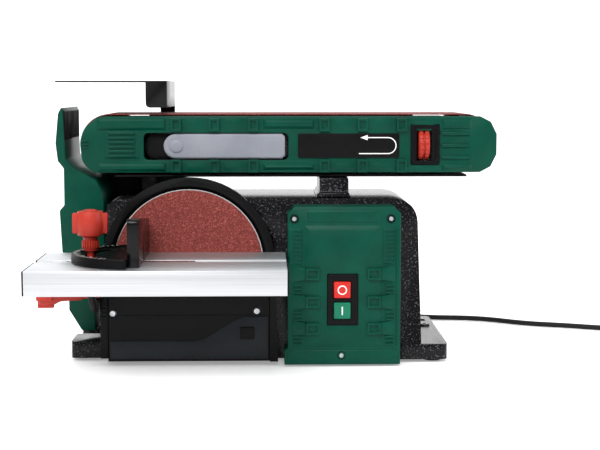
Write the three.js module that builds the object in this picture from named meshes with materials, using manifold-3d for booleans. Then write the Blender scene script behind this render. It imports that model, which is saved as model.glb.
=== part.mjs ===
// Bench belt and disc sander: a 150 mm disc with a tilting table beside a 100 x 915 mm belt arm that
// swings up about its drive drum. Millimetres, +X right, +Y away from the operator, +Z up.
// Inside this file the machine is laid out from the disc: x = 0 on the disc's axis, y = 0 on its
// abrasive face, z = 0 on the bench. The exported group is shifted so that its origin is the bottom
// centre of the machine without its mains lead.
import * as THREE from "three";
import { mergeVertices } from "three/addons/utils/BufferGeometryUtils.js";
import Module from "manifold-3d";

const wasm = await Module();
wasm.setup();

// ---------- driving dimensions ----------
const GAP = 0.3; // clearance between pieces that touch
const DISC_R = 75;
const DISC_AXIS_Z = 102.4;
const DISC_PLATE_T = 8;
const ABRASIVE_T = 1.2;
const SHAFT_R = 7;

const GUARD_R = 86.5; // outside of the round guard behind the disc
const GUARD_BORE_R = 78.5;
const GUARD_BACK_Y = 13.4;
const GUARD_HALF_W = 81.5;
const GUARD_BOX_FRONT_Y = -3.6;

const BASE = { x0: -82, x1: 232, y0: 14, y1: 148, z0: 3, top: 166.4, wall: 5, cornerR: 28 };
const FLANGE = { x1: 262.6, y0: 5, y1: 173, top: 18.8 };
const LEFT_FOOT = { x0: -122, x1: -97.5, y0: 20, y1: 66, top: 20 };
const PAD_T = 2.7; // rubber foot pads under the casting

const TABLE = { x0: -141, x1: 97, depth: 137, plate: 6, skirt: 23.2, cap: 1.5 };
const TILT_AXIS = { y: -2, z: 114.5 }; // rear top edge of the table
const SLOT = { y0: -74, y1: -60, depth: 6 };
const TRUNNION_R = 60;
const CLAMP_R = 45; // clamp bolt's distance from the tilt axis
const CLAMP_REST_DEG = 99; // its direction at rest, counted down from the table's plane
const TILT_DEG = 45;

const MITRE = { x: -45, y: -67, r: 62, knobR: 43.8, swingDeg: 45, fenceY0: -49, fenceY1: 63 };

const SWITCH = { x0: 95.7, x1: 212, y0: -14, y1: 13.6, z0: 1.9, z1: 161.3, wall: 3 };
const BEZEL = { x0: 138.4, x1: 169.3, z0: 42.3, z1: 94.1 };
const BUTTON = { x0: 145, x1: 161.7, height: 16.6, travel: 2.5, stopZ: 69.9, startZ: 49 };

const DRUM_AXIS = { x: -82.2, z: 221.7 }; // drive drum, and the pivot of the arm
const DRUM_SPAN = 364.8; // from the drive drum to the idler drum
const DRUM_R = 28.7;
const BELT_T = 1;
const BELT_IN_R = 29;
const BELT_Y = { y0: 45, y1: 145 };
const COVER_Y = { front: 37, back: 44.2 };
const POST = { x0: 132.8, x1: 162.3, top: 186.6 };
const STOP_Z = 62.3; // underside of the work stop's guard plate over the pivot
const SEGMENTS = 40;

// ---------- geometry helpers ----------
const rad = THREE.MathUtils.degToRad;

function solidOf(geometry) {
  const bare = geometry.clone();
  bare.deleteAttribute("normal");
  bare.deleteAttribute("uv");
  const merged = mergeVertices(bare, 1e-4);
  const mesh = new wasm.Mesh({
    numProp: 3,
    vertProperties: merged.attributes.position.array,
    triVerts: new Uint32Array(merged.index.array),
  });
  return new wasm.Manifold(mesh);
}

function geometryOf(solid) {
  const mesh = solid.getMesh();
  const geometry = new THREE.BufferGeometry();
  geometry.setAttribute("position", new THREE.BufferAttribute(mesh.vertProperties, 3));
  geometry.setIndex(new THREE.BufferAttribute(mesh.triVerts, 1));
  geometry.computeVertexNormals();
  return geometry;
}

// First geometry with all the others taken away from it, or joined to it.
const cut = (first, ...rest) => geometryOf(rest.reduce((s, g) => s.subtract(solidOf(g)), solidOf(first)));
const join = (first, ...rest) => geometryOf(rest.reduce((s, g) => s.add(solidOf(g)), solidOf(first)));

// A box between two corners.
function box(x0, x1, y0, y1, z0, z1) {
  const geometry = new THREE.BoxGeometry(x1 - x0, y1 - y0, z1 - z0);
  return geometry.translate((x0 + x1) / 2, (y0 + y1) / 2, (z0 + z1) / 2);
}

// Plates: an outline extruded along one axis. The outline's two coordinates are the other two axes.
function extrude(shape, depth) {
  return new THREE.ExtrudeGeometry(shape, { depth, bevelEnabled: false, curveSegments: 10 });
}
const plateAlongZ = (shape, z0, z1) => extrude(shape, z1 - z0).translate(0, 0, z0);
const plateAlongY = (shape, y0, y1) => extrude(shape, y1 - y0).rotateX(Math.PI / 2).translate(0, y1, 0);
function plateAlongX(shape, x0, x1) {
  const axes = new THREE.Matrix4().makeBasis(
    new THREE.Vector3(0, 1, 0),
    new THREE.Vector3(0, 0, 1),
    new THREE.Vector3(1, 0, 0),
  );
  return extrude(shape, x1 - x0).applyMatrix4(axes).translate(x0, 0, 0);
}

// An outline from corner points, each a plain corner or one rounded by its third number.
function outline(corners) {
  const shape = new THREE.Shape();
  corners.forEach(([x, y, radius = 0], i) => {
    const here = new THREE.Vector2(x, y);
    const before = new THREE.Vector2(...corners.at(i - 1).slice(0, 2));
    const after = new THREE.Vector2(...corners[(i + 1) % corners.length].slice(0, 2));
    const start = here.clone().add(before.sub(here).setLength(radius));
    const end = here.clone().add(after.sub(here).setLength(radius));
    if (i === 0) shape.moveTo(start.x, start.y);
    else shape.lineTo(start.x, start.y);
    if (radius > 0) shape.quadraticCurveTo(x, y, end.x, end.y);
  });
  shape.closePath();
  return shape;
}

const rectangle = (x0, x1, y0, y1, radius = 0) =>
  outline([[x0, y0, radius], [x1, y0, radius], [x1, y1, radius], [x0, y1, radius]]);

// A solid of revolution from [radius, height] points that start and end on the axis.
function turned(profile, segments = SEGMENTS) {
  const points = profile.map(([r, h]) => new THREE.Vector2(r, h));
  return new THREE.LatheGeometry(points, segments).rotateX(Math.PI / 2);
}
const rod = (r, z0, z1, segments = SEGMENTS) => turned([[0, z0], [r, z0], [r, z1], [0, z1]], segments);
function ring(inner, outer, z0, z1, segments = SEGMENTS) {
  return turned([[inner, z0], [outer, z0], [outer, z1], [inner, z1], [inner, z0]], segments);
}
// Turned pieces stand along +Z; these lay them along +Y or +X.
const alongY = (geometry) => geometry.rotateX(-Math.PI / 2);
const alongX = (geometry) => geometry.rotateY(Math.PI / 2);

// Two circles of radius r joined by straight sides, centres at x = 0 and x = span.
function stadium(r, span) {
  const shape = new THREE.Shape();
  shape.absarc(span, 0, r, -Math.PI / 2, Math.PI / 2, false);
  shape.absarc(0, 0, r, Math.PI / 2, (3 * Math.PI) / 2, false);
  shape.closePath();
  return shape;
}

// ---------- finishes ----------
function finish(color, roughness, metalness = 0) {
  return () => new THREE.MeshStandardMaterial({ color, roughness, metalness });
}
const greenPlastic = finish("#00664f", 0.45);
const blackPlastic = finish("#1b1c1f", 0.5);
const redPlastic = finish("#d8432c", 0.4);
const buttonGreen = finish("#16a27a", 0.35);
const greyPlastic = finish("#a0a3ad", 0.4);
const hammeredPaint = finish("#2a2a2e", 0.45, 0.2);
const extrudedAluminium = finish("#d0d3d4", 0.35, 1);
const machinedSteel = finish("#a9acae", 0.3, 1);
const sheetSteel = finish("#222326", 0.4, 0.3);
const abrasive = finish("#96342a", 0.95);
const blackRubber = finish("#17171a", 0.8);

// ---------- assembly ----------
const machine = new THREE.Group();
function assembly(parent, x, y, z) {
  const group = new THREE.Group();
  group.position.set(x, y, z);
  parent.add(group);
  return group;
}
function add(group, name, geometry, material, position = [0, 0, 0]) {
  const mesh = new THREE.Mesh(geometry, material());
  mesh.name = name;
  mesh.position.set(...position);
  group.add(mesh);
}

// ---------- base casting, feet and motor ----------
const base = assembly(machine, 0, 0, 0);

function baseCasting() {
  const { x0, x1, y0, y1, z0, top, wall, cornerR } = BASE;
  const wallLean = 5; // the right wall leans outward towards the foot
  const front = outline([
    [x0, z0],
    [x1 + wallLean, z0],
    [x1, top - cornerR],
    [x1, top, cornerR],
    [x0, top, 12],
  ]);
  const inside = outline([
    [x0 + wall, z0 - 1],
    [x1 + wallLean - wall, z0 - 1],
    [x1 - wall, top - cornerR],
    [x1 - wall, top - wall, cornerR - wall],
    [x0 + wall, top - wall, 8],
  ]);
  const slot = { x: 251, y0: 140, y1: 152, r: 4.5 }; // bench bolt slot in the flange
  const flange = plateAlongZ(
    outline([
      [x1 - 20, FLANGE.y0],
      [FLANGE.x1, FLANGE.y0, 8],
      [FLANGE.x1, FLANGE.y1, 8],
      [x1 - 20, FLANGE.y1],
    ]),
    z0,
    FLANGE.top,
  );
  const footPlan = rectangle(LEFT_FOOT.x0, x0 + wall, LEFT_FOOT.y0, LEFT_FOOT.y1, 6);
  const leftFoot = plateAlongZ(footPlan, z0, LEFT_FOOT.top);
  const rearFoot = plateAlongZ(rectangle(LEFT_FOOT.x0, x0 + wall, 104, y1, 6), z0, LEFT_FOOT.top);
  const body = join(plateAlongY(front, y0, y1), flange, leftFoot, rearFoot);
  return cut(
    body,
    plateAlongY(inside, y0 + wall, y1 - wall),
    alongY(rod(20, y0 - 1, y1 + 1)).translate(0, 0, DISC_AXIS_Z),
    box(slot.x - slot.r, slot.x + slot.r, slot.y0, slot.y1, -1, FLANGE.top + 1),
  );
}
add(base, "base_casting", baseCasting(), hammeredPaint);

const PADS = [
  [LEFT_FOOT.x0 + 12, 43],
  [LEFT_FOOT.x0 + 12, 126],
  [FLANGE.x1 - 14, 22],
  [FLANGE.x1 - 14, 122],
];
PADS.forEach(([x, y], i) => add(base, `foot_pad_${i + 1}`, rod(9, 0, PAD_T), blackRubber, [x, y, 0]));

const MOTOR = { r: 56, y0: 30, y1: 132, wall: 4 };
const motorHousing = cut(
  alongY(rod(MOTOR.r, MOTOR.y0, MOTOR.y1)),
  alongY(rod(MOTOR.r - MOTOR.wall, MOTOR.y0 + MOTOR.wall, MOTOR.y1 - MOTOR.wall)),
  alongY(rod(17, MOTOR.y0 - 1, MOTOR.y1 + 1)),
);
add(base, "motor_housing", motorHousing, machinedSteel, [0, 0, DISC_AXIS_Z]);
const bearing = () => alongY(ring(SHAFT_R + GAP, 17 - GAP, 0, 11, 24));
add(base, "bearing_front", bearing(), machinedSteel, [0, MOTOR.y0, DISC_AXIS_Z]);
add(base, "bearing_rear", bearing(), machinedSteel, [0, MOTOR.y1 - 11, DISC_AXIS_Z]);

// ---------- disc, its shaft and the motor's rotor ----------
const disc = assembly(machine, 0, 0, DISC_AXIS_Z);
add(disc, "abrasive_disc", alongY(rod(DISC_R - 0.8, 0, ABRASIVE_T, 64)), abrasive);
const discPlate = cut(
  alongY(rod(DISC_R, ABRASIVE_T + GAP, ABRASIVE_T + GAP + DISC_PLATE_T, 64)),
  alongY(rod(SHAFT_R + GAP, ABRASIVE_T + 4, 20)),
);
add(disc, "disc_plate", discPlate, extrudedAluminium);
const MOTOR_PULLEY = { r: 27.5, y0: 156, y1: 168 };
const shaft = alongY(
  turned([
    [0, ABRASIVE_T + 4.5],
    [SHAFT_R, ABRASIVE_T + 4.5],
    [SHAFT_R, 55],
    [32, 55],
    [32, 109],
    [SHAFT_R, 109],
    [SHAFT_R, MOTOR_PULLEY.y0 - GAP],
    [0, MOTOR_PULLEY.y0 - GAP],
  ]),
);
add(disc, "motor_rotor", shaft, machinedSteel);
function pulley(r, y0, y1) {
  const rim = 1.5; // flanges either side of the belt
  return alongY(
    turned([
      [0, y0],
      [r + rim, y0],
      [r + rim, y0 + rim],
      [r, y0 + rim],
      [r, y1 - rim],
      [r + rim, y1 - rim],
      [r + rim, y1],
      [0, y1],
    ]),
  );
}
add(disc, "motor_pulley", pulley(MOTOR_PULLEY.r, MOTOR_PULLEY.y0, MOTOR_PULLEY.y1), extrudedAluminium);

// ---------- guard behind and below the disc ----------
const guardBox = box(-GUARD_HALF_W, GUARD_HALF_W, GUARD_BOX_FRONT_Y, GUARD_BACK_Y, 4, 96);
const clampEar = box(-88.6, -GUARD_HALF_W + 0.5, -8, GUARD_BACK_Y, 8, 88);
const hingeEar = box(GUARD_HALF_W - 0.2, 87.5, -12, GUARD_BOX_FRONT_Y + 3, 66, 90);
const rimOutline = outline([[GUARD_HALF_W - 0.2, 4], [89.5, 4], [87.5, 67], [GUARD_HALF_W - 0.2, 67]]);
const rimStrip = plateAlongY(rimOutline, -8, GUARD_BACK_Y);
const guardRound = alongY(rod(GUARD_R, 0, GUARD_BACK_Y, 64)).translate(0, 0, DISC_AXIS_Z);
const discGuard = cut(
  join(guardRound, guardBox, clampEar, hingeEar, rimStrip),
  alongY(rod(GUARD_BORE_R, -6, GUARD_BACK_Y - 2.4, 64)).translate(0, 0, DISC_AXIS_Z),
  alongY(rod(21, -6, GUARD_BACK_Y + 1)).translate(0, 0, DISC_AXIS_Z),
  box(-60, 60, -6, GUARD_BACK_Y - 2.4, 8, 60),
);
add(base, "disc_guard", discGuard, blackPlastic);

const GUARD_COVER = { y0: -8, y1: GUARD_BOX_FRONT_Y - GAP, z0: 5, z1: 84 };
const guardCover = cut(
  plateAlongY(rectangle(-80.7, 81, GUARD_COVER.z0, GUARD_COVER.z1, 2), GUARD_COVER.y0, GUARD_COVER.y1),
  box(51, 66, GUARD_COVER.y0 - 1, GUARD_COVER.y0 + 2, 27, 40),
);
add(base, "guard_cover", guardCover, blackPlastic);

const screwHead = (r, t) => {
  const profile = [[0, 0], [r, 0], [r, t * 0.4], [r * 0.7, t], [0, t]];
  return alongY(turned(profile, 16).rotateX(Math.PI));
};
const GUARD_SCREWS = { left: [-75.8, 53.9], right: [68.1, 55.9] };
for (const [side, [x, z]] of Object.entries(GUARD_SCREWS)) {
  add(base, `guard_screw_${side}`, screwHead(4.8, 2), machinedSteel, [x, GUARD_COVER.y0 - GAP, z]);
}

// ---------- switch box ----------
function switchCover() {
  const { x0, x1, y0, y1, z0, z1, wall } = SWITCH;
  const chamfer = 7;
  const step = 3.5; // the left edge stands in above the bottom band
  const face = outline([
    [x0, z0],
    [x1, z0],
    [x1, z1 - chamfer],
    [x1 - chamfer, z1],
    [x0 + step + chamfer, z1],
    [x0 + step, z1 - chamfer],
    [x0 + step, z0 + 17],
    [x0, z0 + 15],
  ]);
  const inner = rectangle(x0 + step + wall, x1 - wall, z0 + wall, z1 - wall);
  return cut(
    plateAlongY(face, y0, y1),
    plateAlongY(inner, y0 + wall, y1 + 1),
    box(BEZEL.x0, BEZEL.x1, y0 - 1, y0 + wall + 1, BEZEL.z0, BEZEL.z1),
  );
}
add(base, "switch_cover", switchCover(), greenPlastic);

const bezelFront = SWITCH.y0 - 1.8;
const switchBezel = cut(
  box(BEZEL.x0 + GAP, BEZEL.x1 - GAP, bezelFront, SWITCH.y0 + 20, BEZEL.z0 + GAP, BEZEL.z1 - GAP),
  box(BUTTON.x0 - GAP, BUTTON.x1 + GAP, bezelFront - 1, SWITCH.y0 + 12, 48, 87.5),
);
add(base, "switch_bezel", switchBezel, blackPlastic);
const BUTTONS = { stop_button: [BUTTON.stopZ, redPlastic], start_button: [BUTTON.startZ, buttonGreen] };
for (const [name, [z, material]] of Object.entries(BUTTONS)) {
  const cap = rectangle(BUTTON.x0, BUTTON.x1, 0, BUTTON.height, 1.5);
  add(base, name, plateAlongY(cap, 0, 8), material, [0, bezelFront - 1, z]);
}
const COVER_SCREWS = [[105.7, 149.1], [202, 149.1], [152.9, 11.5]];
COVER_SCREWS.forEach(([x, z], i) => {
  add(base, `cover_screw_${i + 1}`, screwHead(3.4, 1.6), machinedSteel, [x, SWITCH.y0 - GAP, z]);
});

// ---------- tilting table ----------
const table = assembly(machine, 0, TILT_AXIS.y, TILT_AXIS.z);

// Cross-section in y and z: plate, mitre slot, ribs and front skirt. The rear edge is chamfered so
// that it swings clear of the disc.
function tableSection() {
  const { depth, plate, skirt } = TABLE;
  return outline([
    [0, 0],
    [-plate, -plate],
    [SLOT.y1 + 4, -plate],
    [SLOT.y1 + 4, -plate - 6],
    [SLOT.y0 - 4, -plate - 6],
    [SLOT.y0 - 4, -plate],
    [-depth + 4, -plate],
    [-depth + 4, -skirt],
    [-depth, -skirt],
    [-depth, 0],
    [SLOT.y0, 0],
    [SLOT.y0, -SLOT.depth],
    [SLOT.y1, -SLOT.depth],
    [SLOT.y1, 0],
  ]);
}
add(table, "table_top", plateAlongX(tableSection(), TABLE.x0, TABLE.x1), extrudedAluminium);
const capSection = outline([
  [0, 0],
  [-12, -12],
  [-100, -12],
  [-112, -TABLE.skirt],
  [-TABLE.depth, -TABLE.skirt, 2],
  [-TABLE.depth, 0],
  [SLOT.y0, 0],
  [SLOT.y0, -SLOT.depth],
  [SLOT.y1, -SLOT.depth],
  [SLOT.y1, 0],
]);
const cap = (x0) => plateAlongX(capSection, x0, x0 + TABLE.cap - GAP);
add(table, "table_cap_left", cap(TABLE.x0 - TABLE.cap), blackPlastic);
add(table, "table_cap_right", cap(TABLE.x1 + GAP), blackPlastic);

// A quadrant that hangs under the table, with an arc slot for the clamp bolt.
function sector(radius, fromDeg, toDeg, inner = 0) {
  const shape = new THREE.Shape();
  shape.absarc(0, 0, radius, rad(180 + fromDeg), rad(180 + toDeg), false);
  if (inner > 0) shape.absarc(0, 0, inner, rad(180 + toDeg), rad(180 + fromDeg), true);
  else shape.lineTo(0, 0);
  shape.closePath();
  return shape;
}
const TRUNNION_X = { left: -95, right: 89, thickness: 5 };
const slotMargin = 5; // degrees of slot past each end of the bolt's travel
const boltR = 3;
const clampSlot = sector(
  CLAMP_R + boltR + 1,
  CLAMP_REST_DEG - TILT_DEG - slotMargin,
  CLAMP_REST_DEG + slotMargin,
  CLAMP_R - boltR - 1,
);
const belowPlate = box(-200, 200, -200, 5, -TABLE.plate - GAP, 5);
const quadrant = plateAlongX(sector(TRUNNION_R, 25, 112), 0, TRUNNION_X.thickness);
const slotCut = plateAlongX(clampSlot, -1, TRUNNION_X.thickness + 1);
const leftTrunnion = cut(quadrant, slotCut, belowPlate);
add(table, "trunnion_left", leftTrunnion, blackPlastic, [TRUNNION_X.left, 0, 0]);
const rightTrunnion = cut(plateAlongX(sector(23, 2, 84), 0, 4), belowPlate);
add(table, "trunnion_right", rightTrunnion, blackPlastic, [TRUNNION_X.right, 0, 0]);

// Clamp knob: four wings on a hub, with a stud through the quadrant's slot.
const CLAMP = {
  y: TILT_AXIS.y - CLAMP_R * Math.cos(rad(CLAMP_REST_DEG)),
  z: TILT_AXIS.z - CLAMP_R * Math.sin(rad(CLAMP_REST_DEG)),
};
const clampKnob = assembly(machine, TRUNNION_X.left - GAP, CLAMP.y, CLAMP.z);
const knobBody = join(
  alongX(turned([[0, -56], [9, -56], [10.5, -53], [9, -40], [6, -34], [4.5, -12], [0, -12]], 24)),
  box(-57, -41, -12.2, 12.2, -3.6, 3.6),
  box(-57, -41, -3.6, 3.6, -12.2, 12.2),
  alongX(rod(boltR, -13, 6, 16)),
);
add(clampKnob, "tilt_knob", knobBody, redPlastic);

// ---------- mitre gauge ----------
const mitreBar = assembly(table, MITRE.x, MITRE.y, 0);
const barHalf = (SLOT.y1 - SLOT.y0) / 2 - GAP;
add(mitreBar, "mitre_bar", box(-79, 55, -barHalf, barHalf, -SLOT.depth + GAP, -GAP), machinedSteel);
const HEAD = { z0: GAP, z1: 7 };
const FENCE = { x0: -4.5, x1: 6.4, front: 45, rear: 35 };
function mitreHead() {
  const half = new THREE.Shape();
  half.absarc(0, 0, MITRE.r, Math.PI / 2, (3 * Math.PI) / 2, false);
  half.closePath();
  const arcSlot = sector(MITRE.knobR + 4.4, -MITRE.swingDeg - 7, MITRE.swingDeg + 7, MITRE.knobR - 4.4);
  const rim = new THREE.Shape();
  rim.absarc(0, 0, MITRE.r, Math.PI / 2, (3 * Math.PI) / 2, false);
  rim.absarc(0, 0, MITRE.r - 4, (3 * Math.PI) / 2, Math.PI / 2, true);
  rim.closePath();
  const body = join(plateAlongZ(half, HEAD.z0, HEAD.z1), plateAlongZ(rim, HEAD.z1 - 1, HEAD.z1 + 2));
  const fenceSpace = box(FENCE.x0 - GAP, 5, -MITRE.r - 1, MITRE.r + 1, -1, HEAD.z1 + 4);
  return cut(body, plateAlongZ(arcSlot, -1, HEAD.z1 + 1), fenceSpace);
}
const head = assembly(mitreBar, 0, 0, 0);
const fenceFace = outline([
  [MITRE.fenceY0, GAP],
  [MITRE.fenceY1, GAP],
  [MITRE.fenceY1, FENCE.rear, 5],
  [MITRE.fenceY0, FENCE.front, 6],
]);
add(head, "mitre_head", mitreHead(), blackPlastic);
const fencePlate = cut(plateAlongX(fenceFace, FENCE.x0, FENCE.x1), rod(7, -1, 14, 20));
add(head, "mitre_fence", fencePlate, blackPlastic);
const pivotProfile = [[0, GAP], [4, GAP], [4, 7.6], [6, 7.6], [6, 10], [0, 10]];
add(mitreBar, "mitre_pivot", turned(pivotProfile, 20), machinedSteel);

const mitreKnob = assembly(mitreBar, -MITRE.knobR, 0, 0);
const mitreKnobBody = join(
  turned([[0, 10.5], [7, 10.5], [7, 23.5], [12, 25], [13.5, 34], [12, 47.8], [0, 47.8]], 24),
  box(-16.5, 16.5, -4, 4, 27, 46),
  rod(3.4, GAP, 11, 16),
);
add(mitreKnob, "mitre_knob", mitreKnobBody, redPlastic);

// ---------- belt arm ----------
const arm = assembly(machine, DRUM_AXIS.x, 0, DRUM_AXIS.z);
const BEAM = { x0: 40, x1: 312, y0: 50, y1: 146.7 };

// Box beam inside the belt with the platen on top, and the rear cheek that carries the drive drum.
function armFrame() {
  const rearCheek = plateAlongY(
    outline([
      [-24, -14, 4],
      [-10, -26, 4],
      [380, -26, 6],
      [394, 0, 6],
      [380, 26, 6],
      [-10, 26, 4],
      [-24, 14, 4],
    ]),
    BEAM.y1 - 1,
    149.6,
  );
  const beam = box(BEAM.x0, BEAM.x1, BEAM.y0, BEAM.y1, -24, DRUM_R);
  const hollow = box(BEAM.x0 + 5, BEAM.x1 + 1, BEAM.y0 + 5, BEAM.y1 - 4, -18, DRUM_R - 6);
  return cut(
    join(beam, rearCheek),
    hollow,
    alongY(rod(12, 140, 160, 24)),
    box(DRUM_SPAN - 22, DRUM_SPAN + 10, 140, 160, -7.6, 7.6),
  );
}
add(arm, "arm_frame", armFrame(), hammeredPaint);

// The front cover: a long faceted shell with openings for the tension lever and the tracking wheel.
const LEVER_WELL = { x0: 35, x1: 183, z0: -17, z1: 10.8 };
const KNOB_WINDOW = { x0: 308.8, x1: 338.3, z0: -22.3, z1: 19.4 };
function armCover() {
  const face = outline([
    [-18, -29.8, 6],
    [380, -29.8],
    [391, -24],
    [397.2, -11.5],
    [397.2, 9.5],
    [391, 22],
    [380, 27.6],
    [-12, 27.6, 8],
    [-26, 15, 5],
    [-30, 2, 5],
    [-28, -18, 5],
  ]);
  return cut(
    plateAlongY(face, COVER_Y.front, COVER_Y.back),
    plateAlongY(rectangle(LEVER_WELL.x0, LEVER_WELL.x1, LEVER_WELL.z0, LEVER_WELL.z1, 6), 30, 50),
    box(KNOB_WINDOW.x0, KNOB_WINDOW.x1, 30, 50, KNOB_WINDOW.z0, KNOB_WINDOW.z1),
  );
}
add(arm, "arm_cover", armCover(), greenPlastic);
const WHEEL = { x0: 316.8, x1: 327.8, y: 47, r: 16.5, z: -1.2 };
const knobBezel = cut(
  box(KNOB_WINDOW.x0 + GAP, KNOB_WINDOW.x1 - GAP, 36.6, COVER_Y.back, KNOB_WINDOW.z0 + GAP, KNOB_WINDOW.z1 - GAP),
  box(WHEEL.x0 - 2.2, WHEEL.x1 + 2.2, 30, 50, WHEEL.z - 17.6, WHEEL.z + 17.6),
);
add(arm, "tracking_bezel", knobBezel, blackPlastic);
add(arm, "belt_guard", box(5, 367, COVER_Y.front + 3, 146.4, -34.4, -32.2), blackPlastic);

// Endless abrasive belt round both drums.
const beltLoop = cut(
  plateAlongY(stadium(BELT_IN_R + BELT_T, DRUM_SPAN), BELT_Y.y0, BELT_Y.y1),
  plateAlongY(stadium(BELT_IN_R, DRUM_SPAN), BELT_Y.y0 - 1, BELT_Y.y1 + 1),
);
add(arm, "sanding_belt", beltLoop, abrasive);

function drum(y0, y1, shaftFrom, shaftTo) {
  const shoulder = 6;
  return alongY(
    turned([[0, shaftFrom], [SHAFT_R, shaftFrom], [SHAFT_R, y0], [DRUM_R - 0.6, y0], [DRUM_R, y0 + shoulder],
      [DRUM_R, y1 - shoulder], [DRUM_R - 0.6, y1], [SHAFT_R, y1], [SHAFT_R, shaftTo], [0, shaftTo]], 48),
  );
}
const DRUM_PULLEY = { r: 14, y0: 156, y1: 168 };
add(arm, "drive_drum", drum(46.5, 144.5, 45, DRUM_PULLEY.y0 - GAP), blackRubber);
add(arm, "drum_pulley", pulley(DRUM_PULLEY.r, DRUM_PULLEY.y0, DRUM_PULLEY.y1), extrudedAluminium);
const FORK = { front: 47.6, rear: 141, t: 3, x0: 334, x1: 376 };
const idler = assembly(arm, DRUM_SPAN, 0, 0);
add(idler, "idler_drum", drum(FORK.front + FORK.t + 1, FORK.rear - 1, FORK.front + 0.5, 151), extrudedAluminium);

// Sliding fork that carries the idler drum, pushed out by the tension spring.
const FORK_HALF_H = 24;
const forkBar = box(FORK.x0 - 5, FORK.x0, FORK.front, FORK.rear + FORK.t, -FORK_HALF_H, FORK_HALF_H);
const forkArms = [FORK.front, FORK.rear].map((y) => (
  box(FORK.x0 - 1, FORK.x1, y, y + FORK.t, -FORK_HALF_H, FORK_HALF_H)
));
const wheelNotch = box(FORK.x0 - 10, FORK.x0 + 3, 40, 66, -20, 18);
const guideRod = alongX(rod(5, 262, FORK.x0 - 4, 20)).translate(0, 95, 0);
const fork = cut(
  join(forkBar, ...forkArms, guideRod),
  wheelNotch,
  alongY(rod(SHAFT_R + GAP, 40, 160, 24)).translate(DRUM_SPAN, 0, 0),
);
add(arm, "idler_fork", fork, machinedSteel);
const springTurns = ring(7, 11, 268, 310, 24);
add(arm, "tension_spring", alongX(springTurns).translate(0, 95, 0), machinedSteel);

const LEVER = { x0: 55.5, pivotX: 173, x1: 179.5, z0: -15.3, z1: 9.8 };
const lever = assembly(arm, LEVER.pivotX, 40, 0);
const leverPlate = plateAlongY(
  rectangle(LEVER.x0 - LEVER.pivotX, LEVER.x1 - LEVER.pivotX, LEVER.z0, LEVER.z1, 9),
  -4.6,
  0,
);
const leverShape = join(leverPlate, rod(3.4, LEVER.z0 + 1, LEVER.z1 - 1, 16));
add(lever, "tension_lever", leverShape, greyPlastic);

const wheelGroup = assembly(arm, 0, WHEEL.y, WHEEL.z);
const wheelOutline = [
  [0, WHEEL.x0],
  [WHEEL.r, WHEEL.x0],
  [WHEEL.r, WHEEL.x1],
  [6, WHEEL.x1],
  [6, FORK.x0 - 6],
  [0, FORK.x0 - 6],
];
const wheelProfile = turned(wheelOutline, 24);
add(wheelGroup, "tracking_knob", alongX(wheelProfile), redPlastic);

// ---------- work stop across the belt ----------
const STOP = { x0: -54, x1: 59.4, y0: 36, y1: 158, t: 1.5, wingX: 37.6, wingZ: 36.5 };
const stopTop = box(STOP.x0, STOP.x1, STOP.y0, STOP.y1, STOP_Z, STOP_Z + STOP.t);
const stopWing = plateAlongY(
  outline([
    [STOP.wingX, STOP.wingZ, 5],
    [STOP.x1, STOP.wingZ, 4],
    [STOP.x1, STOP_Z + 1],
    [STOP.wingX, STOP_Z + 1],
  ]),
  STOP.y0,
  STOP.y0 + STOP.t,
);
const stopFace = box(STOP.x1 - STOP.t, STOP.x1, STOP.y0, STOP.y1, STOP.wingZ, STOP_Z + STOP.t);
const stopStrap = box(STOP.x1 - 16, STOP.x1, STOP.y1 - STOP.t, STOP.y1, 2, STOP_Z + 1);
const workStop = cut(
  join(stopTop, stopWing, stopFace, stopStrap),
  box(STOP.x1 - 10, STOP.x1 - 5, STOP.y1 - 3, STOP.y1 + 1, 6, 20),
);
add(arm, "work_stop", workStop, sheetSteel);
const stopBolt = alongY(
  turned([[0, 150], [8, 150], [8, STOP.y1 - STOP.t - GAP], [2.4, STOP.y1 - STOP.t - GAP], [2.4, STOP.y1 + GAP],
    [7, STOP.y1 + GAP], [7, STOP.y1 + 5], [0, STOP.y1 + 5]], 20),
);
add(arm, "stop_bolt", stopBolt, machinedSteel, [STOP.x1 - 7.5, 0, 13]);

// ---------- drive at the back ----------
const pivotToShaft = { x: DRUM_AXIS.x, z: DRUM_AXIS.z - DISC_AXIS_Z };
function aroundPulleys(rShaft, rDrum) {
  // Outline that wraps a circle at the shaft and one at the drum, joined by their outer tangents.
  const span = Math.hypot(pivotToShaft.x, pivotToShaft.z);
  const heading = Math.atan2(pivotToShaft.z, pivotToShaft.x);
  const lean = Math.acos((rShaft - rDrum) / span);
  const shape = new THREE.Shape();
  shape.absarc(0, 0, rShaft, heading + lean, heading - lean, false);
  shape.absarc(pivotToShaft.x, pivotToShaft.z, rDrum, heading - lean, heading + lean, false);
  shape.closePath();
  return shape;
}
const drive = assembly(machine, 0, 0, DISC_AXIS_Z);
const driveBelt = cut(
  plateAlongY(aroundPulleys(MOTOR_PULLEY.r + 2.4, DRUM_PULLEY.r + 2.4), 158, 166),
  plateAlongY(aroundPulleys(MOTOR_PULLEY.r + GAP, DRUM_PULLEY.r + GAP), 150, 170),
);
add(drive, "drive_belt", driveBelt, blackRubber);
const driveCover = cut(
  plateAlongY(aroundPulleys(40, 27), 154.2, 178),
  plateAlongY(aroundPulleys(37, 24), 150, 175),
);
add(drive, "drive_cover", driveCover, blackPlastic);
const pivotBracket = cut(
  plateAlongY(aroundPulleys(40, 22), 150.2, 153.8),
  alongY(rod(SHAFT_R + 3, 140, 160, 24)),
  alongY(rod(SHAFT_R + GAP, 140, 160, 24)).translate(pivotToShaft.x, 0, pivotToShaft.z),
);
add(drive, "pivot_bracket", pivotBracket, sheetSteel);

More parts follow.
